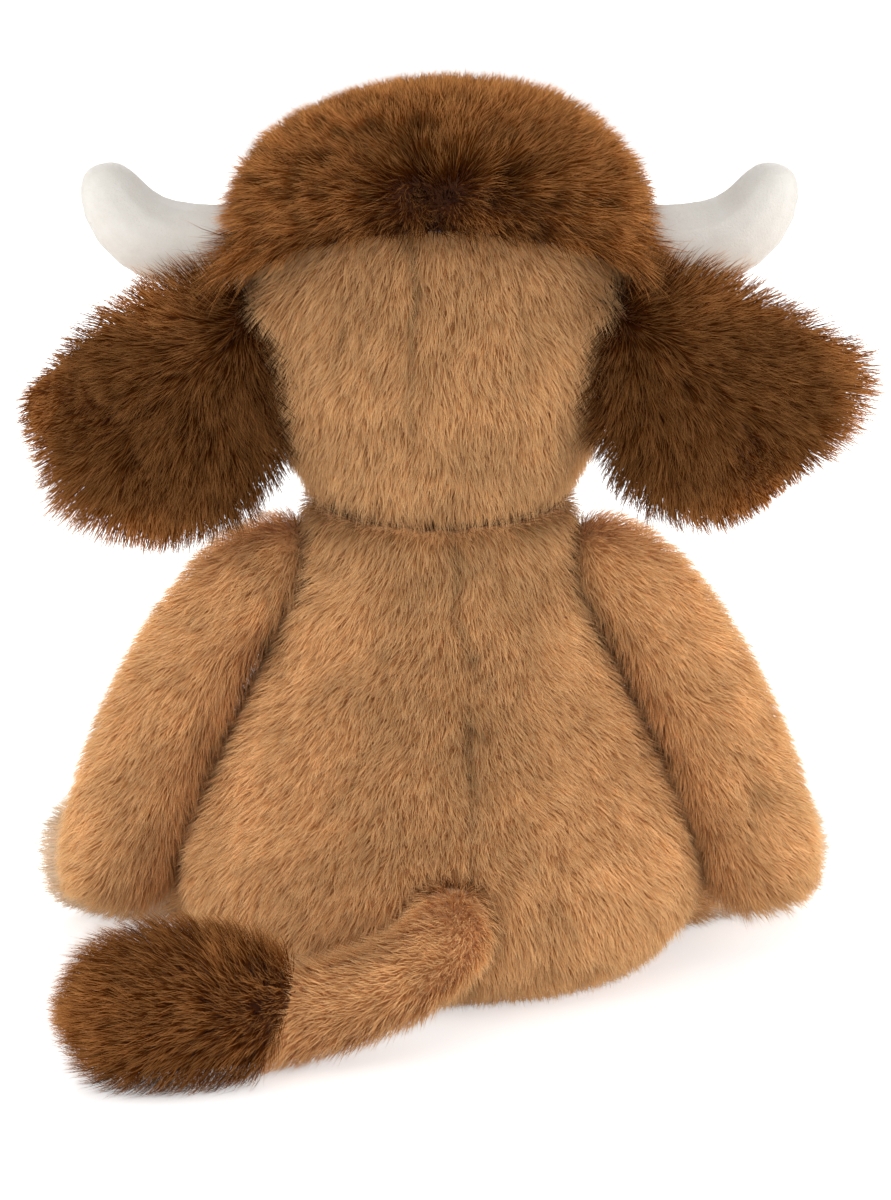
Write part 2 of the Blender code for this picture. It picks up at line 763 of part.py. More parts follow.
def build_tail():
    root = tail_root()
    points, radii = ball_end(root, -Y_AXIS, TAIL_RADIUS)
    shares = zip(TAIL_REACH_SHARES, TAIL_STANDOFF_SHARES, TAIL_DROP_SHARES, TAIL_TUFT_SHARES)
    for reach, standoff, drop, tuft in shares:
        radius = mixed(TAIL_RADIUS, TUFT_RADIUS, tuft)
        lying = TUFT_RADIUS if reach == 1 else radius
        height = mixed(TAIL_ROOT_HEIGHT, lying - FLOOR_FLAT, drop)
        across = root.x + TAIL_REACH * reach
        points.append(Vector((across, root.y + TAIL_STANDOFF * standoff, height)))
        radii.append(radius)

    pivot = new_pivot("tail_pivot", root)
    form = cage("tail_form", path_rings(points, radii, Z_AXIS, LIMB_SIDES))
    first = TUFT_SEAM_RING + len(BALL_END_REACH_SHARES)
    seam_place = (points[first] + points[first + 1]) / 2
    seam_way = (points[first + 1] - points[first]).normalized()
    beyond = half_space("beyond_tuft_seam", seam_place - seam_way * (SEAM_GAP / 2), seam_way)
    before = half_space("before_tuft_seam", seam_place + seam_way * (SEAM_GAP / 2), -seam_way)
    opening = ball_cutter("tail_opening", points[0], TAIL_OPENING_RADIUS)
    skin = new_part("tail_skin", form.copy(), "light_pile", pivot)
    cut(walled(rounded(skin), SKIN), opening, beyond, floor)
    tuft = new_part("tail_tuft", form.copy(), "dark_pile", pivot)
    cut(walled(rounded(tuft), SKIN), before, floor)
    build_stuffing("tail_stuffing", points, radii, Z_AXIS, pivot)


clear_scene()
parts = new_collection("plush_cow", False)
cutters = new_collection("cutters", True)
materials = {name: new_material(name, *looks) for name, looks in FABRICS.items()}

head_pivot = new_pivot("head_pivot", Z_AXIS * (TORSO_HEIGHT - NECK_SINK))
floor = half_space("floor", Vector((0, 0, 0)), -Z_AXIS)
seam_cutters = {
    "left": half_space("right_of_seam", X_AXIS * (SEAM_GAP / 2), -X_AXIS),
    "right": half_space("left_of_seam", -X_AXIS * (SEAM_GAP / 2), X_AXIS),
}
head_cage = upright_cage("head_room_form", head_sizes())
head_room = rounded(new_cutter("head_room", head_cage), JOINT_GAP)
head_seat = rounded(new_cutter("head_seat", head_cage.copy()), SEAM_GAP)
sockets = {"head": head_room}
for which, sign in SIDES.items():
    sockets["arm_" + which] = ball_cutter(
        "shoulder_socket_" + which, shoulder_point(sign), SHOULDER_RADIUS + JOINT_GAP
    )
    sockets["leg_" + which] = ball_cutter(
        "hip_socket_" + which, hip_point(sign), LEG_RADIUS + JOINT_GAP
    )
sockets["tail"] = ball_cutter("tail_socket", tail_root(), TAIL_RADIUS + JOINT_GAP)

horn_rooms = {}
for which, sign in SIDES.items():
    build_horn(which, sign)
    build_ear(which, sign)
    build_arm(which, sign)
    build_leg(which, sign)
build_tail()
build_torso()
build_crown(build_head())
build_muzzle()
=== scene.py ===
import json
import math

import bpy
import numpy as np
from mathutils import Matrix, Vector
from mathutils.bvhtree import BVHTree


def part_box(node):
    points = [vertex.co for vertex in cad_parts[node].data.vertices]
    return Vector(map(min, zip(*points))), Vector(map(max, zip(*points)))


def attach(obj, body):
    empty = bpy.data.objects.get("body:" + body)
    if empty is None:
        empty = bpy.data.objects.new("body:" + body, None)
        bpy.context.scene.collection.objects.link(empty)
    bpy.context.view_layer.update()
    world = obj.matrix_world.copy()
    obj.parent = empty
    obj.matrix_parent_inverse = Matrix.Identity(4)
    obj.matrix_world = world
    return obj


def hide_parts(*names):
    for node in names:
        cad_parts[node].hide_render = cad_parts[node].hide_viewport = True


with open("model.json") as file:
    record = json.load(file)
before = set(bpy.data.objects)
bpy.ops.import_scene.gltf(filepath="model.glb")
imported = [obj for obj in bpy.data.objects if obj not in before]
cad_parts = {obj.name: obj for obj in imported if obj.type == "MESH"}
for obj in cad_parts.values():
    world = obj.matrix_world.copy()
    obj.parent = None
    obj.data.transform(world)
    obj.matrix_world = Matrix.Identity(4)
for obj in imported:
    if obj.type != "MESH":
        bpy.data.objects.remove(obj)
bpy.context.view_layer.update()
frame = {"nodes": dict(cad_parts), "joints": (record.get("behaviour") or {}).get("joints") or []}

# Plush cow seen from behind: smooth stuffed skins, and over them a pile of real strands
mm = 0.001
nodes = frame["nodes"]
sideSigns = {"left": 1, "right": -1}  # the toy's left is +X
pileShare = 1.0
strandLimit = 190000  # triangles in one piece of pile

colours = {  # linear RGB
    "lightRoot": (0.330, 0.130, 0.044),
    "lightMiddle": (0.570, 0.292, 0.116),
    "lightTip": (0.800, 0.500, 0.250),
    "darkRoot": (0.034, 0.007, 0.001),
    "darkMiddle": (0.094, 0.025, 0.004),
    "darkTip": (0.480, 0.215, 0.070),
    "peachRoot": (0.740, 0.460, 0.280),
    "peachMiddle": (0.880, 0.640, 0.440),
    "peachTip": (0.930, 0.720, 0.520),
    "hornRoot": (0.570, 0.530, 0.475),
    "hornMiddle": (0.665, 0.626, 0.572),
    "hornTip": (0.720, 0.688, 0.640),
    "threadDark": (0.045, 0.018, 0.010),
    "threadPale": (0.090, 0.040, 0.020),
    "eye": (0.010, 0.006, 0.004),
    "eyeDust": (0.022, 0.013, 0.008),
    "washerDark": (0.660, 0.660, 0.630),
    "washerPale": (0.750, 0.750, 0.720),
}


# Materials

def newSocket(group, name, direction, kind, value=None):
    socket = group.interface.new_socket(name=name, in_out=direction, socket_type=kind)
    if value is not None:
        socket.default_value = value
    return socket


def setRange(node, source=None, result=None):
    # the span that a Map Range node reads, and the span that it gives
    if source:
        node.inputs["From Min"].default_value, node.inputs["From Max"].default_value = source
    if result:
        node.inputs["To Min"].default_value, node.inputs["To Max"].default_value = result


pileTint = {  # where a strand leaves its root colour, and how far patches and strands differ
    "rootEnd": 0.55, "patchSource": (0.3, 0.7), "patchShade": (0.86, 1.12), "strandShade": (0.72, 1.22),
}


def makePileGroup():
    # colour along a strand from root to tip, with tone from strand to strand and soft patches
    group = bpy.data.node_groups.new("Pile colour", "ShaderNodeTree")
    for name in ("Root", "Middle", "Tip"):
        newSocket(group, name, "INPUT", "NodeSocketColor", (0.5, 0.5, 0.5, 1))
    newSocket(group, "Along", "INPUT", "NodeSocketFloat", 0.5)
    newSocket(group, "Tone", "INPUT", "NodeSocketFloat", 0.5)
    newSocket(group, "Shade", "INPUT", "NodeSocketFloat", 1.0)
    newSocket(group, "Patch Scale", "INPUT", "NodeSocketFloat", 60.0)
    newSocket(group, "Tip Start", "INPUT", "NodeSocketFloat", 0.5)
    newSocket(group, "Colour", "OUTPUT", "NodeSocketColor")
    add = group.nodes.new
    link = group.links.new
    entry = add("NodeGroupInput")
    leave = add("NodeGroupOutput")
    lower = add("ShaderNodeMapRange")
    setRange(lower, (0, pileTint["rootEnd"]))
    upper = add("ShaderNodeMapRange")
    first = add("ShaderNodeMix")
    second = add("ShaderNodeMix")
    darker = add("ShaderNodeMix")
    for mix in (first, second, darker):
        mix.data_type = "RGBA"
    place = add("ShaderNodeTexCoord")
    patches = add("ShaderNodeTexNoise")
    patches.inputs["Detail"].default_value = 2
    patchRange = add("ShaderNodeMapRange")
    setRange(patchRange, pileTint["patchSource"], pileTint["patchShade"])
    toneRange = add("ShaderNodeMapRange")
    setRange(toneRange, None, pileTint["strandShade"])
    product = add("ShaderNodeMath")
    total = add("ShaderNodeMath")
    for node in (product, total):
        node.operation = "MULTIPLY"
    darker.blend_type = "MULTIPLY"
    darker.inputs["Factor"].default_value = 1
    link(entry.outputs["Along"], lower.inputs["Value"])
    link(entry.outputs["Along"], upper.inputs["Value"])
    link(entry.outputs["Tip Start"], upper.inputs["From Min"])
    link(lower.outputs["Result"], first.inputs["Factor"])
    link(entry.outputs["Root"], first.inputs["A"])
    link(entry.outputs["Middle"], first.inputs["B"])
    link(upper.outputs["Result"], second.inputs["Factor"])
    link(first.outputs["Result"], second.inputs["A"])
    link(entry.outputs["Tip"], second.inputs["B"])
    link(place.outputs["Object"], patches.inputs["Vector"])
    link(entry.outputs["Patch Scale"], patches.inputs["Scale"])
    link(patches.outputs["Fac"], patchRange.inputs["Value"])
    link(entry.outputs["Tone"], toneRange.inputs["Value"])
    link(patchRange.outputs["Result"], product.inputs[0])
    link(toneRange.outputs["Result"], product.inputs[1])
    link(product.outputs["Value"], total.inputs[0])
    link(entry.outputs["Shade"], total.inputs[1])
    link(second.outputs["Result"], darker.inputs["A"])
    link(total.outputs["Value"], darker.inputs["B"])
    link(darker.outputs["Result"], leave.inputs["Colour"])
    return group


napCloth = {"fibreDetail": 4, "fibreTwist": 1.2, "broadScale": 120, "broadDetail": 3, "fibreShare": 0.6,
            "bump": 0.8, "darkUpTo": 0.45}


def makeNapGroup():
    # fine fibres for the cloth under a pile: a streaky mask and a bump
    group = bpy.data.node_groups.new("Nap", "ShaderNodeTree")
    newSocket(group, "Scale", "INPUT", "NodeSocketFloat", 900.0)
    newSocket(group, "Height", "INPUT", "NodeSocketFloat", 0.0003)
    newSocket(group, "Mask", "OUTPUT", "NodeSocketFloat")
    newSocket(group, "Normal", "OUTPUT", "NodeSocketVector")
    add = group.nodes.new
    link = group.links.new
    entry = add("NodeGroupInput")
    leave = add("NodeGroupOutput")
    place = add("ShaderNodeTexCoord")
    fibres = add("ShaderNodeTexNoise")
    fibres.inputs["Detail"].default_value = napCloth["fibreDetail"]
    fibres.inputs["Distortion"].default_value = napCloth["fibreTwist"]
    broad = add("ShaderNodeTexNoise")
    broad.inputs["Scale"].default_value = napCloth["broadScale"]
    broad.inputs["Detail"].default_value = napCloth["broadDetail"]
    blend = add("ShaderNodeMath")
    blend.operation = "MULTIPLY_ADD"
    blend.inputs[1].default_value = napCloth["fibreShare"]
    bump = add("ShaderNodeBump")
    bump.inputs["Strength"].default_value = napCloth["bump"]
    link(place.outputs["Object"], fibres.inputs["Vector"])
    link(place.outputs["Object"], broad.inputs["Vector"])
    link(entry.outputs["Scale"], fibres.inputs["Scale"])
    link(fibres.outputs["Fac"], blend.inputs[0])
    link(broad.outputs["Fac"], blend.inputs[2])
    link(blend.outputs["Value"], leave.inputs["Mask"])
    link(fibres.outputs["Fac"], bump.inputs["Height"])
    link(entry.outputs["Height"], bump.inputs["Distance"])
    link(bump.outputs["Normal"], leave.inputs["Normal"])
    return group


pileGroup = makePileGroup()
napGroup = makeNapGroup()


def emptyMaterial(name, roughness, sheen=0.0, sheenTint=None, specular=0.25):
    material = bpy.data.materials.new(name)
    material.use_nodes = True
    shader = material.node_tree.nodes["Principled BSDF"]
    shader.inputs["Roughness"].default_value = roughness
    shader.inputs["Sheen Weight"].default_value = sheen
    shader.inputs["Specular IOR Level"].default_value = specular
    if sheenTint:
        shader.inputs["Sheen Tint"].default_value = (*sheenTint, 1)
    return material, shader, material.node_tree.nodes.new, material.node_tree.links.new


def pileMaterial(name, family, tipStart, patchScale, sheen, roughness=0.8):
    material, shader, add, link = emptyMaterial(name, roughness, sheen, colours[family + "Tip"], 0)
    strand = add("ShaderNodeAttribute")
    strand.attribute_name = "strand"
    parts = add("ShaderNodeSeparateColor")
    tint = add("ShaderNodeGroup")
    tint.node_tree = pileGroup
    tint.inputs["Root"].default_value = (*colours[family + "Root"], 1)
    tint.inputs["Middle"].default_value = (*colours[family + "Middle"], 1)
    tint.inputs["Tip"].default_value = (*colours[family + "Tip"], 1)
    tint.inputs["Patch Scale"].default_value = patchScale
    tint.inputs["Tip Start"].default_value = tipStart
    link(strand.outputs["Color"], parts.inputs["Color"])
    link(parts.outputs["Red"], tint.inputs["Along"])
    link(parts.outputs["Green"], tint.inputs["Tone"])
    link(parts.outputs["Blue"], tint.inputs["Shade"])
    link(tint.outputs["Colour"], shader.inputs["Base Color"])
    # a strand is thin: its back is lit through it, as brightly as its front
    surface = add("ShaderNodeNewGeometry")
    through = add("ShaderNodeBsdfTranslucent")
    sides = add("ShaderNodeMixShader")
    leave = material.node_tree.nodes["Material Output"]
    link(tint.outputs["Colour"], through.inputs["Color"])
    link(surface.outputs["Backfacing"], sides.inputs[0])
    link(shader.outputs[0], sides.inputs[1])
    link(through.outputs[0], sides.inputs[2])
    link(sides.outputs[0], leave.inputs["Surface"])
    return material


def clothMaterial(name, dark, pale, fibres=900, height=0.3 * mm, roughness=0.9, sheen=0.2):
    material, shader, add, link = emptyMaterial(name, roughness, sheen)
    nap = add("ShaderNodeGroup")
    nap.node_tree = napGroup
    nap.inputs["Scale"].default_value = fibres
    nap.inputs["Height"].default_value = height
    ramp = add("ShaderNodeValToRGB")
    ramp.color_ramp.elements[0].position = napCloth["darkUpTo"]
    ramp.color_ramp.elements[0].color = (*dark, 1)
    ramp.color_ramp.elements[1].color = (*pale, 1)
    link(nap.outputs["Mask"], ramp.inputs["Fac"])
    link(ramp.outputs["Color"], shader.inputs["Base Color"])
    link(nap.outputs["Normal"], shader.inputs["Normal"])
    return material


materials = {
    "lightPile": pileMaterial("lightPile", "light", tipStart=0.5, patchScale=60, sheen=0.45),
    "darkPile": pileMaterial("darkPile", "dark", tipStart=0.6, patchScale=90, sheen=0.04),
    "peachPile": pileMaterial("peachPile", "peach", tipStart=0.4, patchScale=120, sheen=0.2),
    "hornPile": pileMaterial("hornPile", "horn", tipStart=0.4, patchScale=120, sheen=0.2),
    "lightCloth": clothMaterial("lightCloth", colours["lightRoot"], colours["lightMiddle"]),
    "darkCloth": clothMaterial("darkCloth", colours["darkRoot"], colours["darkMiddle"]),
    "peachCloth": clothMaterial("peachCloth", colours["peachRoot"], colours["peachMiddle"]),
    "hornCloth": clothMaterial("hornCloth", colours["hornMiddle"], colours["hornTip"], fibres=1400),
    "thread": clothMaterial("thread", colours["threadDark"], colours["threadPale"],
                            fibres=2200, height=0.1 * mm, roughness=0.6),
    "washer": clothMaterial("washer", colours["washerDark"], colours["washerPale"],
                            fibres=500, height=0.02 * mm, roughness=0.45, sheen=0),
}


eyeGloss = {"roughness": 0.08, "coat": 0.1, "dustScale": 700, "dustRoughness": (0.05, 0.14)}


def eyeMaterial():
    material, shader, add, link = emptyMaterial("eyeGloss", eyeGloss["roughness"])
    shader.inputs["Coat Weight"].default_value = eyeGloss["coat"]
    place = add("ShaderNodeTexCoord")
    dust = add("ShaderNodeTexNoise")
    dust.inputs["Scale"].default_value = eyeGloss["dustScale"]
    ramp = add("ShaderNodeValToRGB")
    ramp.color_ramp.elements[0].color = (*colours["eye"], 1)
    ramp.color_ramp.elements[1].color = (*colours["eyeDust"], 1)
    rough = add("ShaderNodeMapRange")
    setRange(rough, None, eyeGloss["dustRoughness"])
    link(place.outputs["Object"], dust.inputs["Vector"])
    link(dust.outputs["Fac"], ramp.inputs["Fac"])
    link(dust.outputs["Fac"], rough.inputs["Value"])
    link(ramp.outputs["Color"], shader.inputs["Base Color"])
    link(rough.outputs["Result"], shader.inputs["Roughness"])
    return material


materials["eye"] = eyeMaterial()
print("materials made")


# Selection, modifiers and copies of CAD forms

def onlySelect(*pieces):
    bpy.ops.object.select_all(action="DESELECT")
    for piece in pieces:
        piece.select_set(True)
    bpy.context.view_layer.objects.active = pieces[0]


def modify(piece, kind, **values):
    modifier = piece.modifiers.new(kind.title(), kind)
    for key, value in values.items():
        setattr(modifier, key, value)
    onlySelect(piece)
    bpy.ops.object.modifier_apply(modifier=modifier.name)


skinFinish = {"mergeWithin": 0.01 * mm, "sewnWithin": 1.5 * mm, "sewnShare": 0.05, "smoothAfter": 3}


def copyOfNodes(name, names):
    copies = []
    for node in names:
        twin = bpy.data.objects.new(name, nodes[node].data.copy())
        bpy.context.scene.collection.objects.link(twin)
        copies.append(twin)
    onlySelect(*copies)
    if len(copies) > 1:
        bpy.ops.object.join()
    piece = bpy.context.view_layer.objects.active
    bpy.ops.object.mode_set(mode="EDIT")
    bpy.ops.mesh.select_all(action="SELECT")
    bpy.ops.mesh.remove_doubles(threshold=skinFinish["mergeWithin"])
    bpy.ops.object.mode_set(mode="OBJECT")
    piece.data.materials.clear()
    for attribute in list(piece.data.uv_layers):
        piece.data.uv_layers.remove(attribute)
    return piece


def finish(piece, body, material):
    piece.data.materials.clear()
    piece.data.materials.append(materials[material])
    onlySelect(piece)
    bpy.ops.object.shade_smooth()
    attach(piece, body)


def blockerTree(names):
    points = []
    faces = []
    for name in names:
        mesh = nodes[name].data
        start = len(points)
        points += [vertex.co.copy() for vertex in mesh.vertices]
        faces += [[start + corner for corner in face.vertices] for face in mesh.polygons]
    return BVHTree.FromPolygons(points, faces)


def stuffedSkin(name, names, body, material, look, sewnTo=()):
    # one closed cloth form round all its CAD pieces, set in by the height of the pile,
    # except close to what it is sewn to
    piece = copyOfNodes(name, names)
    modify(piece, "REMESH", mode="VOXEL", voxel_size=look["voxel"])
    modify(piece, "SMOOTH", iterations=look["smoothing"])
    if look["inset"]:
        group = piece.vertex_groups.new(name="setIn")
        share = np.ones(len(piece.data.vertices))
        if sewnTo:
            tree = blockerTree(sewnTo)
            gaps = np.array([tree.find_nearest(vertex.co)[3] for vertex in piece.data.vertices])
            share = np.clip((gaps - skinFinish["sewnWithin"]) / look["fade"], skinFinish["sewnShare"], 1)
        for index, weight in enumerate(share):
            group.add([index], float(weight), "REPLACE")
        modify(piece, "DISPLACE", strength=-look["inset"], mid_level=0, vertex_group="setIn")
        modify(piece, "SMOOTH", iterations=skinFinish["smoothAfter"])
        piece.vertex_groups.clear()
    finish(piece, body, material)
    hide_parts(*names)
    print("skin", name, len(piece.data.polygons), "faces")
    return piece


# The pile: real strands grown from a skin

def unit(vectors):
    return vectors / np.maximum(np.linalg.norm(vectors, axis=1, keepdims=True), 1e-9)


def turned(vectors, axes, angles):
    cosine = np.cos(angles)[:, None]
    sine = np.sin(angles)[:, None]
    along = (vectors * axes).sum(1, keepdims=True) * axes
    return vectors * cosine + np.cross(axes, vectors) * sine + along * (1 - cosine)


def rise(values, start, reach):
    # 0 up to start, and 1 from there plus reach on
    return np.clip((values - start) / reach, 0, 1)


def ripple(points, wavelength, seed, waves=6, stretches=(0.7, 1.5)):
    # smooth noise, mostly within -1..1, and the same on every run
    source = np.random.default_rng(seed)
    total = np.zeros(len(points))
    for wave in range(waves):
        way = source.normal(size=3)
        way /= np.linalg.norm(way)
        stretch = source.uniform(*stretches)
        phase = source.uniform(0, math.tau)
        total += np.sin(points @ way * (math.tau / wavelength * stretch) + phase)
    return 2 * total / waves


def surfaceOf(skin):
    mesh = skin.data
    mesh.calc_loop_triangles()
    points = np.empty(len(mesh.vertices) * 3)
    mesh.vertices.foreach_get("co", points)
    normals = np.empty(len(mesh.vertices) * 3, np.float32)
    mesh.vertex_normals.foreach_get("vector", normals)
    corners = np.empty(len(mesh.loop_triangles) * 3, np.int32)
    mesh.loop_triangles.foreach_get("vertices", corners)
    return points.reshape(-1, 3), normals.reshape(-1, 3).astype(float), corners.reshape(-1, 3)


def openAbove(roots, outs, tree, reach):
    # True where nothing else lies on the skin
    clear = np.ones(len(roots), bool)
    for index, (root, out) in enumerate(zip(roots, outs)):
        if tree.ray_cast(Vector(root), Vector(out), reach)[0] is not None:
            clear[index] = False
    return clear


def gapsTo(points, names):
    # how far each point is from the nearest of the named CAD nodes
    tree = blockerTree(names)
    return np.array([tree.find_nearest(Vector(point))[3] for point in points])


# painted shade in the creases where forms meet, and how it closes at the nape
joinLook = {"shade": 0.5, "from": 1 * mm, "reach": 7 * mm, "napeAt": 2 * mm, "nape": 24 * mm,
            "napeLeast": 0.15}


def joinPaintedShade(points, names):
    # painted shade in the crease where two forms meet, where the pile is also parted
    gaps = rise(gapsTo(points, names), joinLook["from"], joinLook["reach"])
    return joinLook["shade"] + (1 - joinLook["shade"]) * gaps


def neckPaintedShade(points, names):
    # painted shade in the neck's fold, at its sides, closing in the middle of the nape
    sides = np.abs(points[:, 0] - joinLook["napeAt"]) / joinLook["nape"]
    return 1 - (1 - joinPaintedShade(points, names)) * np.clip(sides, joinLook["napeLeast"], 1)


partLook = {"wave": 15 * mm, "flat": 0.4, "width": 0.10, "patch": 34 * mm}


def partedShade(points, strength, seed):
    # short wavy lines where the pile has parted, darkened with painted shade in the partings
    line = ripple(points * np.array((1, 1, partLook["flat"])), partLook["wave"], seed)
    patch = np.clip(ripple(points, partLook["patch"], seed + 1), 0, 1)
    return 1 - strength * np.exp(-(line / partLook["width"]) ** 2) * patch


strandSpread = {  # how much one strand differs from the next
    "length": (0.72, 1.18), "lengthLumps": 0.10, "rootLean": 8, "rootLumps": 4, "tipLean": 9,
    "tipLumps": 6, "twist": 0.9, "width": (0.75, 1.25), "taper": 0.75,
    "sunk": 0.4 * mm, "floor": 0.2 * mm, "darkest": 0.2, "coverTilt": 1.3, "coverReach": 14 * mm,
}
cellMargin = {"across": 0.15, "along": 0.1}  # left clear round each strand in the bake
triangleCount = [0]


def scatteredRoots(skin, perSquareMm, source):
    # random places on a skin, and the way it faces there
    points, normals, corners = surfaceOf(skin)
    first, second, third = (points[corners[:, i]] for i in range(3))
    areas = np.linalg.norm(np.cross(second - first, third - first), axis=1) / 2
    count = int(areas.sum() / mm**2 * perSquareMm * pileShare)
    pick = source.choice(len(areas), size=count, p=areas / areas.sum())
    u, v = source.random((2, count))
    over = u + v > 1
    u[over], v[over] = 1 - u[over], 1 - v[over]
    shares = np.stack([1 - u - v, u, v], 1)
    roots = (points[corners[pick]] * shares[:, :, None]).sum(1)
    return roots, unit((normals[corners[pick]] * shares[:, :, None]).sum(1))


def freeRoots(roots, outs, look, blockers, keep):
    # those that are wanted, with nothing lying over them
    wanted = np.ones(len(roots), bool) if keep is None else keep(roots, outs)
    if blockers:
        wanted[wanted] = openAbove(roots[wanted], outs[wanted], blockerTree(blockers), look["reach"])
    if "under" in look:  # a made piece that lies over this one
        tree = BVHTree.FromObject(look["under"], bpy.context.evaluated_depsgraph_get())
        outwards = unit(outs[wanted] - np.array((0, 0, strandSpread["coverTilt"])))
        wanted[wanted] = openAbove(roots[wanted], outwards, tree, strandSpread["coverReach"])
    return roots[wanted], outs[wanted]


def bentStrands(roots, outs, look, flow, lumps, source):
    # flat tapered ribbons that lie over along the flow: their corners from root to tip
    count = len(roots)
    spread = strandSpread
    ways = flow(roots)
    ways = unit(ways - (ways * outs).sum(1, keepdims=True) * outs)
    sway = look["sway"] * ripple(roots, look["swayLength"], look["seed"] + 1)
    stray = look["stray"] * source.normal(size=count)
    ways = turned(ways, outs, np.radians(sway + stray))
    lumpsAcross = ripple(roots, look["clumpLength"], look["seed"] + 3)
    lengths = look["length"] * source.uniform(*spread["length"], count)
    lengths = lengths * (1 + spread["lengthLumps"] * lumps)
    if "lengthShare" in look:
        lengths = lengths * look["lengthShare"](roots)
    leanShare = look["leanShare"](roots) if "leanShare" in look else 1
    leanRoot = np.radians(leanShare * look["rootLean"] + spread["rootLean"] * source.normal(size=count)
                          + spread["rootLumps"] * lumps)
    leanTip = np.radians(leanShare * look["tipLean"] + spread["tipLean"] * source.normal(size=count)
                         + spread["tipLumps"] * lumpsAcross)
    across = np.cross(outs, ways)
    bias = np.radians(look["clumping"]) * lumpsAcross

    steps = look["steps"]
    spine = [roots - outs * spread["sunk"]]
    for step in range(steps):
        share = (step + 0.5) / steps
        lean = (leanRoot + (leanTip - leanRoot) * share)[:, None]
        way = ways * np.cos(bias * share)[:, None] + across * np.sin(bias * share)[:, None]
        spine.append(spine[-1] + (outs * np.cos(lean) + way * np.sin(lean)) * (lengths / steps)[:, None])
    twist = source.uniform(-spread["twist"], spread["twist"], count)
    edge = turned(across, ways, twist)
    halfWidth = look["width"] / 2 * source.uniform(*spread["width"], count)
    rows = []
    for step in range(steps):
        taper = (1 - (step / steps) ** 2 * spread["taper"]) * halfWidth
        rows += [spine[step] - edge * taper[:, None], spine[step] + edge * taper[:, None]]
    rows.append(spine[steps])
    strands = np.stack(rows, 1)
    strands[:, :, 2] = np.maximum(strands[:, :, 2], spread["floor"])
    return strands


def strandShades(roots, look, lumps):
    darkLumps = np.clip(0.5 + 0.5 * lumps, 0, 1)
    shades = np.clip(1 - look["lumpShade"] * (1 - darkLumps) ** 2, strandSpread["darkest"], 1)
    if "shade" in look:
        shades = shades * look["shade"](roots)
    if "parting" in look:
        shades = shades * partedShade(roots, look["parting"], look["seed"] + 4)
    # painted shade in the creases against the listed forms
    if "joins" in look:
        shades = shades * joinPaintedShade(roots, look["joins"])
    return shades


def growPile(name, skin, body, material, look, flow, blockers=(), keep=None):
    source = np.random.default_rng(look["seed"])
    roots, outs = scatteredRoots(skin, look["perSquareMm"], source)
    roots, outs = freeRoots(roots, outs, look, blockers, keep)
    count = len(roots)
    lumps = ripple(roots, look["clumpLength"], look["seed"] + 2)
    strands = bentStrands(roots, outs, look, flow, lumps, source)
    tones = np.clip(0.5 + look["toneSpread"] * source.normal(size=count), 0, 1)
    shades = strandShades(roots, look, lumps)

    steps = look["steps"]
    along = np.repeat(np.arange(steps + 1) / steps, 2)[:2 * steps + 1]
    quads = [[2 * s + 1, 2 * s, 2 * s + 2, 2 * s + 3] for s in range(steps - 1)]
    tip = [2 * steps - 1, 2 * steps - 2, 2 * steps]
    trianglesEach = 2 * (steps - 1) + 1
    pieces = max(1, math.ceil(count / (strandLimit // trianglesEach)))
    order = np.argsort(roots[:, 2] + 3 * roots[:, 1], kind="stable")
    for index, chosen in enumerate(np.array_split(order, pieces)):
        pieceName = name if pieces == 1 else f"{name}_{index + 1}"
        piece = strandMesh(pieceName, strands[chosen], outs[chosen], quads, tip, along,
                           tones[chosen], shades[chosen])
        piece.data.materials.append(materials[material])
        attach(piece, body)
    triangleCount[0] += count * trianglesEach
    print("pile", name, count, "strands", triangleCount[0], "triangles so far")


def strandMesh(name, strands, outs, quads, tip, along, tones, shades):
    count, perStrand = strands.shape[:2]
    starts = np.arange(count)[:, None] * perStrand
    quadCorners = (starts[:, None] + np.array(quads, int).reshape(-1, 4)[None]).reshape(count, -1)
    corners = np.concatenate([quadCorners, starts + np.array(tip)[None]], 1)
    sizes = np.array([4] * len(quads) + [3])
    loopStarts = np.concatenate([[0], np.cumsum(sizes)])[:-1]
    mesh = bpy.data.meshes.new(name)
    mesh.vertices.add(count * perStrand)
    mesh.vertices.foreach_set("co", strands.astype(np.float32).ravel())
    mesh.loops.add(corners.size)
    mesh.loops.foreach_set("vertex_index", corners.astype(np.int32).ravel())
    mesh.polygons.add(count * len(sizes))
    polygonStarts = (np.arange(count)[:, None] * sizes.sum() + loopStarts[None]).ravel()
    mesh.polygons.foreach_set("loop_start", polygonStarts.astype(np.int32))
    mesh.update(calc_edges=True)

    values = np.ones((count, perStrand, 4), np.float32)
    values[:, :, 0] = along[None]
    values[:, :, 1] = tones[:, None]
    values[:, :, 2] = shades[:, None]
    strandLayer = mesh.color_attributes.new("strand", "FLOAT_COLOR", "POINT")
    strandLayer.data.foreach_set("color", values.ravel())

    # one cell of the unit square for each strand, so that a bake keeps them apart
    cells = math.ceil(math.sqrt(count))
    cellU = (np.arange(count) % cells)[:, None]
    cellV = (np.arange(count) // cells)[:, None]
    across, below = cellMargin["across"], cellMargin["along"]
    sideways = np.tile([across, 1 - across], perStrand)[:perStrand]
    sideways[-1] = 0.5
    placeU = (cellU + sideways[None]) / cells
    placeV = (cellV + below + (1 - 2 * below) * along[None]) / cells
    places = np.stack([placeU, placeV], 2).reshape(-1, 2)
    layer = mesh.uv_layers.new(name="OFBake")
    layer.data.foreach_set("uv", places[corners.ravel()].astype(np.float32).ravel())

    mesh.polygons.foreach_set("use_smooth", np.ones(count * len(sizes), bool))
    facing = np.repeat(outs, perStrand, axis=0)
    mesh.normals_split_custom_set_from_vertices(facing.tolist())
    piece = bpy.data.objects.new(name, mesh)
    bpy.context.scene.collection.objects.link(piece)
    return piece


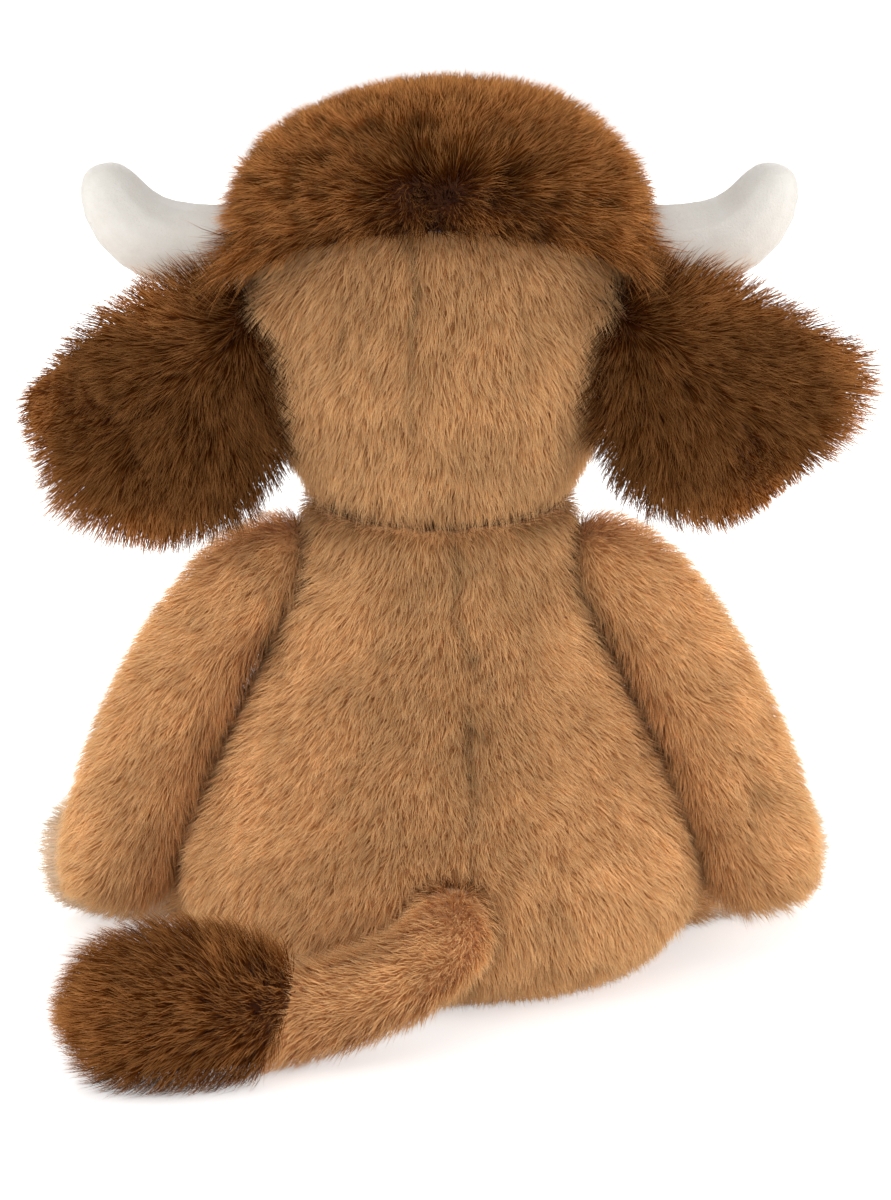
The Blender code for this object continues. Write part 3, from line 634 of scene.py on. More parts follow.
def nearestForm(points, *names):
    # which of the named CAD nodes lies nearest to each point
    distances = []
    for name in names:
        tree = blockerTree([name])
        distances.append([tree.find_nearest(Vector(point))[3] for point in points])
    return np.argmin(np.array(distances), 0)


formReach = 3 * mm  # how far out of a joined skin its CAD nodes are told apart
floorReach, floorFacing = 4.5 * mm, -0.85  # what lies lower and faces further down is pressed flat


def paintBy(skin, names, cloths):
    # each face of a joined skin takes the cloth of the CAD node that it lies on
    skin.data.materials.clear()
    for cloth in cloths:
        skin.data.materials.append(materials[cloth])
    centres = np.array([face.center + face.normal * formReach for face in skin.data.polygons])
    skin.data.polygons.foreach_set("material_index", nearestForm(centres, *names).astype(np.int32))


def onForm(names, wanted):
    # keeps the roots that lie on one of the CAD nodes of a joined skin
    return lambda roots, outs: nearestForm(roots + outs * formReach, *names) == wanted


def aboveFloor(roots, outs):
    # leaves out what is pressed on the floor
    return (roots[:, 2] > floorReach) | (outs[:, 2] > floorFacing)


lightPile = {
    "perSquareMm": 2.6, "length": 8.0 * mm, "width": 0.265 * mm, "steps": 2,
    "rootLean": 32, "tipLean": 68, "stray": 12, "sway": 16, "swayLength": 22 * mm,
    "clumpLength": 4.5 * mm, "clumping": 12, "reach": 0.8 * mm,
    "toneSpread": 0.19, "lumpShade": 0.12, "parting": 0.3, "seed": 11,
}
darkPile = {
    "perSquareMm": 3.4, "length": 13 * mm, "width": 0.23 * mm, "steps": 3,
    "rootLean": 24, "tipLean": 68, "stray": 14, "sway": 14, "swayLength": 20 * mm,
    "clumpLength": 5.5 * mm, "clumping": 15, "reach": 1 * mm,
    "toneSpread": 0.26, "lumpShade": 0.35, "seed": 41,
}
shortNap = {
    "perSquareMm": 3.0, "length": 2.6 * mm, "width": 0.22 * mm, "steps": 1,
    "rootLean": 35, "tipLean": 35, "stray": 30, "sway": 20, "swayLength": 15 * mm,
    "clumpLength": 3 * mm, "clumping": 20, "reach": 3 * mm,
    "toneSpread": 0.15, "lumpShade": 0.12, "seed": 71,
}
softForm = {"voxel": 1.8 * mm, "smoothing": 8, "inset": 3.6 * mm, "fade": 9 * mm, "fill": 0.8}


# Places that the pile flows from and to, all read from the CAD bodies

def middleOf(*names):
    low = Vector([min(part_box(name)[0][axis] for name in names) for axis in range(3)])
    high = Vector([max(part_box(name)[1][axis] for name in names) for axis in range(3)])
    return (low + high) / 2, low, high


jointPlace = {joint["name"]: Vector(joint["pos_m"]) for joint in frame["joints"]}
headNodes = ["head_skin_left", "head_skin_right", "muzzle_skin"]
torsoNodes = ["torso_skin_left", "torso_skin_right"]
earNodes = ["ear_back_left", "ear_back_right", "ear_lining_left", "ear_lining_right"]
limbNodes = [name for name in nodes if name.split("_")[0] in ("arm", "leg", "tail", "sole")
             and "stuffing" not in name]
headMiddle, _, headHigh = middleOf(*headNodes[:2])
torsoHigh = middleOf(*torsoNodes, "torso_base")[2]


def away(points, centre, stretch=(1, 1, 1)):
    return (points - np.array(centre)) * np.array(stretch)


def even(amount):
    # the same shade all over a piece of pile
    return lambda points: np.full(len(points), amount)


seamCore = 0.2  # the share of a seam's width that is darkest


def besideSeam(points, seamAt, look):
    # 0 on a centre seam and 1 beside it, and how far the seam wanders
    wander = look["seamWander"] * ripple(points * np.array((0, 1, 1)), look["seamWave"], look["seamSeed"])
    gap = np.abs(points[:, 0] - seamAt + wander) / look["seam"]
    return np.clip(gap - seamCore, 0, 1), wander


# Torso

torsoLook = {
    **lightPile, "seed": 11, "nape": (-4 * mm, 0, 45 * mm), "fan": (1.5, 0.9, 1),
    "seamHeights": (30 * mm, 85 * mm, 105 * mm, 145 * mm),
    "seamPlaces": (-9 * mm, -9 * mm, -8 * mm, -1 * mm),
    "seam": 2.0 * mm, "seamWander": 1.2 * mm, "seamWave": 30 * mm, "seamSeed": 7, "seamDark": 0.16,
    "seamOpen": 0.22, "openWave": 34 * mm, "openSeed": 8,
    "threadEnds": ((-10 * mm, 106 * mm), (-9 * mm, 86 * mm), (-13 * mm, 84.5 * mm)),
    "threadReach": 2.2 * mm, "threadFlat": 0.7, "threadDark": 0.65,
    # a fold of the cloth near the base, drawn as painted shade
    "foldHeight": 15 * mm, "foldWander": 1.5 * mm, "foldWave": 60 * mm, "foldSeed": 9,
    "fold": 1.6 * mm, "foldPaintedShade": 0.28, "foldEnd": -8 * mm,
    # painted shade down the middle, painted light at the sides and base, painted shadow of the head at
    # the top
    "paintedShadeAt": (-4 * mm, 90 * mm), "paintedShadeReach": 48 * mm, "paintedShadeFlat": 0.5, "middlePaintedShade": 0.86,
    "sidePaintedLight": 0.22, "sidePower": 1.5, "topFrom": 112 * mm, "paintedTopReach": 22 * mm, "topPaintedShade": 0.12,
}


def torsoFlow(points):
    # fans out from the nape and falls to the floor
    nape = Vector(torsoLook["nape"]) + Vector((0, 0, torsoHigh.z))
    return away(points, nape, torsoLook["fan"])


def backSeamAndPaintedShade(points):
    # the pile parts along the centre seam of the back, with the ends of its threads; painted shade in a
    # fold near the base
    look = torsoLook
    seamAt = np.interp(points[:, 2], look["seamHeights"], look["seamPlaces"])
    gap = besideSeam(points, seamAt, look)[0]
    opening = 0.5 + 0.5 * ripple(points * np.array((0, 0, 1)), look["openWave"], look["openSeed"])
    shade = 1 - (1 - gap) * (look["seamDark"] + look["seamOpen"] * np.clip(opening, 0, 1))
    for across, height in look["threadEnds"]:
        spot = np.hypot(points[:, 0] - across, (points[:, 2] - height) * look["threadFlat"])
        shade = shade * (1 - look["threadDark"] * (1 - rise(spot, 0, look["threadReach"])))
    # painted shade in a fold of the cloth near the base, on the toy's right
    fold = look["foldHeight"] + look["foldWander"] * ripple(points, look["foldWave"], look["foldSeed"])
    creased = 1 - rise(np.abs(points[:, 2] - fold), 0, look["fold"])
    shade = shade * np.where(points[:, 0] < look["foldEnd"], 1 - look["foldPaintedShade"] * creased, 1)
    # painted shade down the middle of the back, and painted light at its sides and base
    across, height = look["paintedShadeAt"]
    fromMiddle = np.hypot(points[:, 0] - across, (points[:, 2] - height) * look["paintedShadeFlat"])
    sides = rise(fromMiddle, 0, look["paintedShadeReach"]) ** look["sidePower"]
    shade = shade * (look["middlePaintedShade"] + look["sidePaintedLight"] * sides)
    # painted shadow of the head over the top of the back
    shade = shade * (1 - look["topPaintedShade"] * rise(points[:, 2], look["topFrom"], look["paintedTopReach"]))
    # all of this on the back only, and painted shade in the neck's fold all round
    return np.where(points[:, 1] > 0, shade, 1) * neckPaintedShade(points, headNodes)


torsoLook["shade"] = backSeamAndPaintedShade
# painted shade in the creases against the arms
torsoLook["joins"] = [name for name in limbNodes if name.startswith("arm")]
torsoForm = {**softForm, "fade": 18 * mm}
torsoSkin = stuffedSkin("torsoSkin", [*torsoNodes, "torso_base", "torso_stuffing", "bean_pouch"],
                        "torso", "lightCloth", torsoForm, limbNodes + headNodes)
growPile("torsoPile", torsoSkin, "torso", "lightPile", torsoLook, torsoFlow,
         limbNodes + headNodes, aboveFloor)
print("torso done")


# Head

headLook = {
    **lightPile, "seed": 101, "spread": 0.55, "depthSpread": 0.3, "fall": 48 * mm,
    "eyeSwirl": 0.25, "eyeReach": 12 * mm,
    "seamAt": 7 * mm, "seam": 1.5 * mm, "seamWander": 0.6 * mm, "seamWave": 26 * mm, "seamSeed": 17,
    "seamDark": 0.10, "seamTop": 0.36, "seamTopFrom": -30 * mm, "seamTopReach": 50 * mm,
    "dartMiddle": 2 * mm, "dartAt": 25 * mm, "dart": 1.6 * mm, "dartDark": 0.3, "dartWander": 2,
    "dartHeight": 6 * mm, "dartLength": 15 * mm, "dartEnd": 1.4,
    # painted shadow of the crown over the top of the head
    "paintedTopReach": 12 * mm, "topPaintedShade": 0.10, "backShade": 0.92,
    "neckReach": 12 * mm, "neckGain": 0.6, "cornerFrom": 36 * mm, "cornerReach": 8 * mm,
    "cornerRise": 10 * mm, "cornerGain": 0.6,
}


def headFlow(points):
    # falls from the crown, and spreads a little to both sides of the centre seam
    look = headLook
    ways = np.stack([points[:, 0] * look["spread"], (points[:, 1] - headMiddle.y) * look["depthSpread"],
                     np.full(len(points), -look["fall"])], 1)
    for side in sideSigns:  # brushed outwards round the eyes
        out = away(points, middleOf(f"eye_{side}")[0])
        reach = np.linalg.norm(out, axis=1, keepdims=True)
        ways = ways + unit(out) * look["eyeSwirl"] * np.exp(-(reach / look["eyeReach"]) ** 2)
    return ways


def headSeamAndPaintedShade(points):
    # the centre seam shows most near the crown, with a short dart on each side of it, and painted shade
    look = headLook
    gap, wander = besideSeam(points, look["seamAt"], look)
    nearCrown = rise(points[:, 2], headMiddle.z + look["seamTopFrom"], look["seamTopReach"])
    shade = 1 - (1 - gap) * (look["seamDark"] + look["seamTop"] * nearCrown)
    fromDart = np.abs(points[:, 0] - look["dartMiddle"]) - look["dartAt"] + look["dartWander"] * wander
    dart = rise(np.abs(fromDart), 0, look["dart"])
    alongDart = np.abs(points[:, 2] - headMiddle.z - look["dartHeight"]) / look["dartLength"]
    shade = shade * (1 - (1 - dart) * look["dartDark"] * np.clip(look["dartEnd"] - alongDart, 0, 1))
    # painted shadow of the crown over the top of the head
    shade = shade * (1 - look["topPaintedShade"] * rise(points[:, 2], headMiddle.z, look["paintedTopReach"]))
    shade = np.where(points[:, 1] > 0, look["backShade"] * shade, 1)
    # painted shade in the neck's fold
    return shade * neckPaintedShade(points, torsoNodes)


def headLength(points):
    # longer where it hangs over the neck, and in the corners under the crown
    look = headLook
    overNeck = 1 - rise(gapsTo(points, torsoNodes), 0, look["neckReach"])
    corners = rise(np.abs(points[:, 0]), look["cornerFrom"], look["cornerReach"])
    corners = corners * rise(points[:, 2], headMiddle.z, look["cornerRise"])
    return 1 + look["neckGain"] * overNeck + look["cornerGain"] * corners


headLook["shade"] = headSeamAndPaintedShade
headLook["lengthShare"] = headLength
headSkin = stuffedSkin("headSkin", ["head_skin_left", "head_skin_right", "head_stuffing"],
                       "head", "lightCloth", softForm, earNodes)


# Crown of long pile

crownLook = {
    **darkPile, "length": 11.5 * mm, "tipLean": 60, "stray": 18, "clumpLength": 7 * mm, "clumping": 24,
    "lumpShade": 0.8, "toneSpread": 0.45, "seed": 141, "whorl": (1 * mm, -6 * mm, -15 * mm),
    "swirl": (9 * mm, 0, 5.4 * mm), "swirlWave": 16 * mm, "swirlSeed": 143,
    "hangFrom": 2 * mm, "hangReach": 14 * mm, "hang": 34 * mm,
    "edgeAt": 28 * mm, "edgeReach": 10 * mm, "edgeHang": 80 * mm, "edgeGain": 0.3,
    "cornerGain": 0.6, "cornerFrom": 38 * mm, "cornerReach": 10 * mm, "cornerBehind": 4 * mm,
    "shoulderAt": 27 * mm, "shoulder": 18 * mm, "shoulderTrim": 0.25,
    "shoulderFrom": -20 * mm, "shoulderReach": 16 * mm,
    # the whorl's own dark roots, and painted light out to the edge and on the top
    "whorlReach": 15 * mm, "whorlLean": 0.5, "whorlShade": 0.76, "outerPaintedLight": 0.66, "outerReach": 46 * mm,
    "topAt": 12 * mm, "paintedTopReach": 10 * mm, "topPaintedLight": 0.45,
    "patches": 0.12, "patchWave": 26 * mm, "patchSeed": 147, "shadeSpan": (0.5, 1.8),
}
crownForm = {"voxel": 1.4 * mm, "smoothing": 4, "inset": 2.4 * mm, "fill": 0.7}
whorl = np.array(crownLook["whorl"]) + np.array((0, headHigh.y, headHigh.z))


def crownEdge(points):
    # 1 along the crown's lower edge
    return rise(headHigh.z - crownLook["edgeAt"] - points[:, 2], 0, crownLook["edgeReach"])


def crownFlow(points):
    # outwards from the whorl, and down over the lower edge
    look = crownLook
    swirl = ripple(points, look["swirlWave"], look["swirlSeed"])[:, None] * np.array(look["swirl"])
    hanging = rise(whorl[2] + look["hangFrom"] - points[:, 2], 0, look["hangReach"])
    fall = look["hang"] * hanging + look["edgeHang"] * crownEdge(points)
    return away(points, whorl) + swirl - fall[:, None] * np.array((0, 0, 1))


def crownLength(points):
    # longest round the lower edge, and most of all where it hangs between ear and horn
    look = crownLook
    corners = rise(np.abs(points[:, 0]), look["cornerFrom"], look["cornerReach"])
    corners = corners * (points[:, 1] > look["cornerBehind"])
    shoulder = np.exp(-((points[:, 0] - look["shoulderAt"]) / look["shoulder"]) ** 2)
    shoulder = shoulder * rise(points[:, 2], headHigh.z + look["shoulderFrom"], look["shoulderReach"])
    edge = crownEdge(points) * (look["edgeGain"] + look["cornerGain"] * corners)
    return 1 + edge - look["shoulderTrim"] * shoulder


def crownLean(points):
    # upright in the whorl
    reach = np.linalg.norm(away(points, whorl), axis=1)
    least = crownLook["whorlLean"]
    return least + (1 - least) * rise(reach, 0, crownLook["whorlReach"])


def crownShade(points):
    # darkest in the whorl, where the strands stand on end and show their roots; painted light grows out
    # to the edge and over the top
    look = crownLook
    reach = np.linalg.norm(away(points, whorl), axis=1)
    patches = look["patches"] * ripple(points, look["patchWave"], look["patchSeed"])
    # painted light on the top of the crown
    top = rise(points[:, 2], headHigh.z - look["topAt"], look["paintedTopReach"])
    shade = look["whorlShade"] + look["outerPaintedLight"] * reach / look["outerReach"] + look["topPaintedLight"] * top
    return np.clip(shade + patches, *look["shadeSpan"])


def crownOutside(roots, outs):
    return (away(roots, headMiddle) * outs).sum(1) > 0


crownLook["shade"] = crownShade
crownLook["leanShare"] = crownLean
crownLook["lengthShare"] = crownLength
crownSkin = stuffedSkin("crownSkin", ["crown_cap"], "head", "darkCloth", crownForm)

headLook["under"] = crownSkin
growPile("headPile", headSkin, "head", "lightPile", headLook, headFlow,
         ["muzzle_skin", *torsoNodes])
print("head done")
growPile("crownPile", crownSkin, "head", "darkPile", crownLook, crownFlow,
         ["horn_skin_left", "horn_skin_right"], crownOutside)
print("crown done")


# Ears

earForm = {"voxel": 1.4 * mm, "smoothing": 26, "inset": 1.4 * mm, "fade": 8 * mm, "fill": 0.5}
earLook = {
    **darkPile, "perSquareMm": 4.3, "tipLean": 64, "lumpShade": 0.35, "clumping": 22, "stray": 12,
    "joins": headNodes[:2], "seed": 201, "napLength": 4 * mm, "napSeed": 211,
    "root": (6 * mm, 6 * mm), "rimFlow": 0.8, "rimFlowReach": 34 * mm,
    # painted light towards the outer side, and a painted golden glow over the outer rim
    "middleShade": 0.63, "outerPaintedLight": 0.3, "outerReach": 30 * mm, "outerFrom": 24 * mm,
    "rimFrom": 21 * mm, "rimReach": 9 * mm, "paintedRimLight": 0.8, "trimFocus": 8,
}
earTrim = {  # ways out and up from the ear's middle, and how much longer the pile is there
    "left": [((0.55, 0, -0.83), 0.5), ((0.94, 0, 0.34), -0.5), ((0.98, 0, -0.2), -0.3),
             ((0.1, 0, -0.99), -0.5)],
    "right": [((0.6, 0, -0.8), -0.55), ((0.97, 0, -0.24), 0.2), ((0.1, 0, -0.99), -0.4)],
}
for side, sign in sideSigns.items():
    names = [f"ear_back_{side}", f"ear_lining_{side}"]
    earSkin = stuffedSkin(f"earSkin_{side}", names, f"ear_{side}", "darkCloth", earForm,
                          headNodes)
    paintBy(earSkin, names, ["darkCloth", "peachCloth"])
    hinge = jointPlace[f"ear_flap_{side}"]
    earRoot = (hinge.x - sign * earLook["root"][0], hinge.y, hinge.z + earLook["root"][1])
    earMiddle = middleOf(*names)[0]

    def earFlow(points, earRoot=earRoot, earMiddle=earMiddle):
        # from the root to the rim, and over the rim on all sides
        outwards = earLook["rimFlow"] * away(points, earMiddle) / earLook["rimFlowReach"]
        return unit(away(points, earRoot)) + outwards

    def earShade(points, earMiddle=earMiddle, sign=sign):
        # darker in the middle, where the strands lie along the ear, with painted light towards the outer
        # side and a painted golden glow over the rim
        look = earLook
        reach = np.linalg.norm(away(points, earMiddle, (1, 0, 1)), axis=1)
        outer = rise(sign * (points[:, 0] - earMiddle.x), -look["outerFrom"], look["outerFrom"])
        rim = rise(reach, look["rimFrom"], look["rimReach"]) * outer
        far = rise(reach, 0, look["outerReach"]) * outer
        return look["middleShade"] + look["outerPaintedLight"] * far + look["paintedRimLight"] * rim

    def earLength(points, earMiddle=earMiddle, side=side, sign=sign):
        # fullest at the lower outer corner, and trimmed at the lowest point
        ways = unit(away(points, earMiddle, (sign, 0, 1)))
        share = np.ones(len(points))
        for way, amount in earTrim[side]:
            share = share + amount * np.clip(ways @ np.array(way), 0, 1) ** earLook["trimFocus"]
        return share

    growPile(f"earPile_{side}", earSkin, f"ear_{side}", "darkPile",
             {**earLook, "shade": earShade, "lengthShare": earLength, "seed": earLook["seed"] + sign},
             earFlow, headNodes + ["crown_cap"], onForm(names, 0))
    growPile(f"earNap_{side}", earSkin, f"ear_{side}", "peachPile",
             {**shortNap, "length": earLook["napLength"], "seed": earLook["napSeed"] + sign},
             earFlow, (), onForm(names, 1))
print("ears done")


# Horns

hornForm = {"voxel": 0.9 * mm, "smoothing": 10, "inset": 0, "fill": 0.9}
hornLook = {
    **shortNap, "perSquareMm": 3.0, "length": 1.3 * mm, "width": 0.16 * mm, "rootLean": 45,
    "tipLean": 80, "toneSpread": 0.08, "lumpShade": 0.05, "seed": 241, "upwards": 0.5,
    "joins": ["crown_cap", *headNodes],
}
for side, sign in sideSigns.items():
    names = [f"horn_skin_{side}", f"horn_stuffing_{side}"]
    hornSkin = stuffedSkin(f"hornSkin_{side}", names, "head", "hornCloth", hornForm)

    def hornFlow(points, sign=sign):
        # out along the horn and up to its tip
        return np.tile((float(sign), 0.0, hornLook["upwards"]), (len(points), 1))

    growPile(f"hornNap_{side}", hornSkin, "head", "hornPile",
             {**hornLook, "seed": hornLook["seed"] + sign}, hornFlow, hornLook["joins"])
print("horns done")


# Arms and legs

armLook = {
    **lightPile, "joins": torsoNodes, "shade": even(1.13), "seed": 301, "stretch": (1.4, 1, 1),
    "flowFrom": (30 * mm, -4 * mm, 42 * mm), "handFrom": 32 * mm, "handReach": 13 * mm, "handGain": 0.6,
}
armForm = {**softForm, "fade": 20 * mm}
legLook = {**lightPile, "seed": 321, "flowFrom": 60 * mm}
footLook = {**lightPile, "length": 7 * mm, "shade": even(0.88), "seed": 331, "pale": 44 * mm}
soleLook = {**shortNap, "length": 4 * mm, "seed": 341}


def armLength(points):
    # fuller at the hands, which hang to just above the floor
    low = rise(armLook["handFrom"] - points[:, 2], 0, armLook["handReach"])
    return 1 + armLook["handGain"] * low


def soleFlow(points):
    return np.tile((0.0, 0.0, -1.0), (len(points), 1))


armLook["lengthShare"] = armLength
for side, sign in sideSigns.items():
    names = [f"arm_skin_{side}", f"arm_stuffing_{side}"]
    armSkin = stuffedSkin(f"armSkin_{side}", names, f"arm_{side}", "lightCloth", armForm,
                          torsoNodes)
    across, depth, up = armLook["flowFrom"]
    armTop = jointPlace[f"arm_lift_{side}"] + Vector((-sign * across, depth, up))

    def armFlow(points, armTop=armTop):
        return away(points, armTop, armLook["stretch"])

    growPile(f"armPile_{side}", armSkin, f"arm_{side}", "lightPile",
             {**armLook, "seed": armLook["seed"] + sign}, armFlow, torsoNodes, aboveFloor)

    names = [f"leg_skin_{side}", f"sole_{side}", f"leg_stuffing_{side}"]
    legSkin = stuffedSkin(f"legSkin_{side}", names, f"leg_{side}", "lightCloth", softForm,
                          torsoNodes)
    paintBy(legSkin, names[:2], ["lightCloth", "peachCloth"])
    hip = jointPlace[f"leg_lift_{side}"]
    soleMiddle = middleOf(f"sole_{side}")[0]
    legWay = (soleMiddle - hip).normalized()
    for face in legSkin.data.polygons:  # the cloth is pale under the pale pile too
        if (soleMiddle - face.center).dot(legWay) <= footLook["pale"]:
            face.material_index = 1

    def legFlow(points, hip=hip, legWay=legWay):
        return away(points, hip - legWay * legLook["flowFrom"])

    def legPart(form, foot=None, names=names, soleMiddle=soleMiddle, legWay=legWay):
        # the roots on the leg's own fabric or its sole, and of those the foot's or the shin's
        def keep(roots, outs):
            wanted = aboveFloor(roots, outs) & onForm(names[:2], form)(roots, outs)
            if foot is None:
                return wanted
            fromSole = ((np.array(soleMiddle) - roots) * np.array(legWay)).sum(1)
            return wanted & ((fromSole <= footLook["pale"]) == foot)
        return keep

    upper = [*torsoNodes, f"arm_skin_{side}"]
    growPile(f"legPile_{side}", legSkin, f"leg_{side}", "lightPile",
             {**legLook, "seed": legLook["seed"] + sign}, legFlow, upper, legPart(0, foot=False))
    growPile(f"footPile_{side}", legSkin, f"leg_{side}", "peachPile",
             {**footLook, "seed": footLook["seed"] + sign}, legFlow, upper, legPart(0, foot=True))
    growPile(f"solePile_{side}", legSkin, f"leg_{side}", "peachPile",
             {**soleLook, "seed": soleLook["seed"] + sign}, soleFlow, (), legPart(1))
print("arms and legs done")


# Tail and its tuft

tailForm = {**softForm, "inset": 2.8 * mm}
tailLook = {**lightPile, "joins": torsoNodes, "shade": even(1.13), "seed": 401,
            "bend": (2 * mm, -12 * mm), "pathPoints": 40}
tuftLook = {**darkPile, "length": 13 * mm, "rootLean": 26, "tipLean": 66, "seed": 411,
            "flowFrom": 8 * mm, "stretch": (1, 1.3, 1.3),
            # painted golden rim light round the tuft
            "shadeFrom": 1.02, "paintedRimLight": 0.4, "rimFrom": 8 * mm, "rimReach": 20 * mm,
            "rimStretch": (0.7, 1, 1)}
names = ["tail_skin", "tail_tuft", "tail_stuffing"]
tailSkin = stuffedSkin("tailSkin", names, "tail", "lightCloth", tailForm, torsoNodes)
paintBy(tailSkin, names[:2], ["lightCloth", "darkCloth"])
tailRoot = np.array(jointPlace["tail_swing"])
tuftMiddle, tuftLow, tuftHigh = middleOf("tail_tuft")
tuftEnd = np.array((tuftHigh.x, tuftMiddle.y, tuftMiddle.z))
tailBend = np.array((tailRoot[0] + tailLook["bend"][0], tuftMiddle.y + tailLook["bend"][1], tuftMiddle.z))
shares = np.linspace(0, 1, tailLook["pathPoints"])[:, None]
tailPath = (1 - shares) ** 2 * tailRoot + 2 * shares * (1 - shares) * tailBend + shares ** 2 * tuftEnd
tailWays = unit(np.gradient(tailPath, axis=0))


def tailFlow(points):
    # along the tail's own curve
    nearest = np.argmin(np.linalg.norm(points[:, None] - tailPath[None], axis=2), 1)
    return tailWays[nearest]


def tuftFlow(points):
    middle = (tuftLow.x - tuftLook["flowFrom"], tuftMiddle.y, tuftMiddle.z)
    return away(points, middle, tuftLook["stretch"])


def tuftShade(points):
    # painted golden rim light where the strands stand out round the tuft
    reach = np.linalg.norm(away(points, tuftMiddle, tuftLook["rimStretch"]), axis=1)
    rim = rise(reach, tuftLook["rimFrom"], tuftLook["rimReach"])
    return tuftLook["shadeFrom"] + tuftLook["paintedRimLight"] * rim


def tubeOnly(roots, outs):
    return aboveFloor(roots, outs) & onForm(names[:2], 0)(roots, outs)


def tuftOnly(roots, outs):
    return aboveFloor(roots, outs) & onForm(names[:2], 1)(roots, outs)


tuftLook["shade"] = tuftShade
growPile("tailPile", tailSkin, "tail", "lightPile", tailLook, tailFlow, torsoNodes, tubeOnly)
growPile("tuftPile", tailSkin, "tail", "darkPile", tuftLook, tuftFlow, (), tuftOnly)
print("tail done")


# Muzzle, nostrils, mouth and eyes

muzzleForm = {"voxel": 1.2 * mm, "smoothing": 6, "inset": 1.2 * mm, "fade": 5 * mm, "fill": 0.8}
muzzleLook = {**shortNap, "seed": 501}
faceLook = {
    "stitchWidth": 0.75 * mm, "stitchPitch": 0.72 * mm, "stitchSides": 10, "stitchEnd": (0.18, 0.2),
    "mouthHalfWidth": 15 * mm, "mouthDrop": 13 * mm, "mouthRise": 4.5 * mm, "mouthStitches": 15,
    "nostrilWidth": 0.94 * mm, "nostrilLift": 1.0 * mm, "nostrilOver": 0.3 * mm,
    "mouthLift": 0.7 * mm, "stitchGap": 0.06, "inFront": 20 * mm,
    "napClear": 1.1 * mm, "napHeight": 6 * mm,
}
muzzleSkin = stuffedSkin("muzzleSkin", ["muzzle_skin", "muzzle_stuffing"], "head",
                         "peachCloth", muzzleForm)
muzzleMiddle, muzzleLow, _ = middleOf("muzzle_skin")
muzzleTree = BVHTree.FromObject(muzzleSkin, bpy.context.evaluated_depsgraph_get())


def onMuzzle(across, height):
    # the place on the muzzle's skin straight in front of a point, and the way it faces
    start = Vector((across, muzzleLow.y - faceLook["inFront"], height))
    return muzzleTree.ray_cast(start, Vector((0, 1, 0)))[:2]


def addStitch(start, end, width):
    # one thread between two holes: a rounded rod with its ends drawn into the cloth
    middle = (start + end) / 2
    span = end - start
    bpy.ops.object.select_all(action="DESELECT")
    bpy.ops.mesh.primitive_cylinder_add(vertices=faceLook["stitchSides"], radius=width / 2,
                                        depth=span.length, location=middle,
                                        rotation=span.to_track_quat("Z", "Y").to_euler())
    stitch = bpy.context.view_layer.objects.active
    bpy.ops.object.mode_set(mode="EDIT")
    bpy.ops.mesh.select_mode(type="FACE")
    bpy.ops.mesh.select_all(action="DESELECT")
    bpy.ops.object.mode_set(mode="OBJECT")
    for face in stitch.data.polygons:
        face.select = len(face.vertices) > 4
    bpy.ops.object.mode_set(mode="EDIT")
    thickness, depth = faceLook["stitchEnd"]
    bpy.ops.mesh.inset(thickness=width * thickness, depth=width * depth)
    bpy.ops.object.mode_set(mode="OBJECT")
    modify(stitch, "SUBSURF", levels=1, render_levels=1)
    bpy.ops.object.transform_apply(location=True, rotation=True, scale=True)
    return stitch


def joined(name, stitches):
    onlySelect(*stitches)
    bpy.ops.object.join()
    piece = bpy.context.view_layer.objects.active
    piece.name = name
    finish(piece, "head", "thread")
    return piece


for side, sign in sideSigns.items():
    # satin stitch over the whole nostril, each row as long as the oval is wide there
    middle, low, high = middleOf(f"nostril_{side}")
    rows = []
    count = int((high.z - low.z) / faceLook["stitchPitch"])
    for row in range(count):
        share = (row + 0.5) / count
        halfLength = math.sqrt(1 - (2 * share - 1) ** 2) * (high.x - low.x) / 2 + faceLook["nostrilOver"]
        height = low.z + share * (high.z - low.z)
        ends = []
        for end in (-1, 1):
            hit, facing = onMuzzle(middle.x + end * halfLength, height)
            ends.append(hit + facing * faceLook["nostrilLift"])
        rows.append(addStitch(*ends, faceLook["nostrilWidth"]))
    nostril = joined(f"nostrilStitch_{side}", rows)
    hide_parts(f"nostril_{side}")

mouthPlaces = []
for step in range(faceLook["mouthStitches"] + 1):
    share = 2 * step / faceLook["mouthStitches"] - 1
    height = muzzleMiddle.z - faceLook["mouthDrop"] + faceLook["mouthRise"] * share ** 2
    hit, facing = onMuzzle(share * faceLook["mouthHalfWidth"], height)
    mouthPlaces.append(hit + facing * faceLook["mouthLift"])
mouthRows = []
for a, b in zip(mouthPlaces, mouthPlaces[1:]):
    gap = (b - a) * faceLook["stitchGap"]
    mouthRows.append(addStitch(a + gap, b - gap, faceLook["stitchWidth"]))
joined("mouthStitch", mouthRows)
mouthLine = np.array(mouthPlaces)


def muzzleFlow(points):
    return away(points, (0, muzzleLow.y, muzzleMiddle.z + faceLook["napHeight"]))


def besideMouth(roots, outs):
    gaps = np.linalg.norm(roots[:, None] - mouthLine[None], axis=2).min(1)
    return gaps > faceLook["napClear"]


growPile("muzzleNap", muzzleSkin, "head", "peachPile", muzzleLook, muzzleFlow,
         ["nostril_left", "nostril_right", *headNodes[:2]], besideMouth)

for name, node in nodes.items():
    if "washer" in name:
        node.data.materials[0] = materials["washer"]
    elif name.startswith("eye"):
        node.data.materials[0] = materials["eye"]
print("face done")


# Stage, light and camera

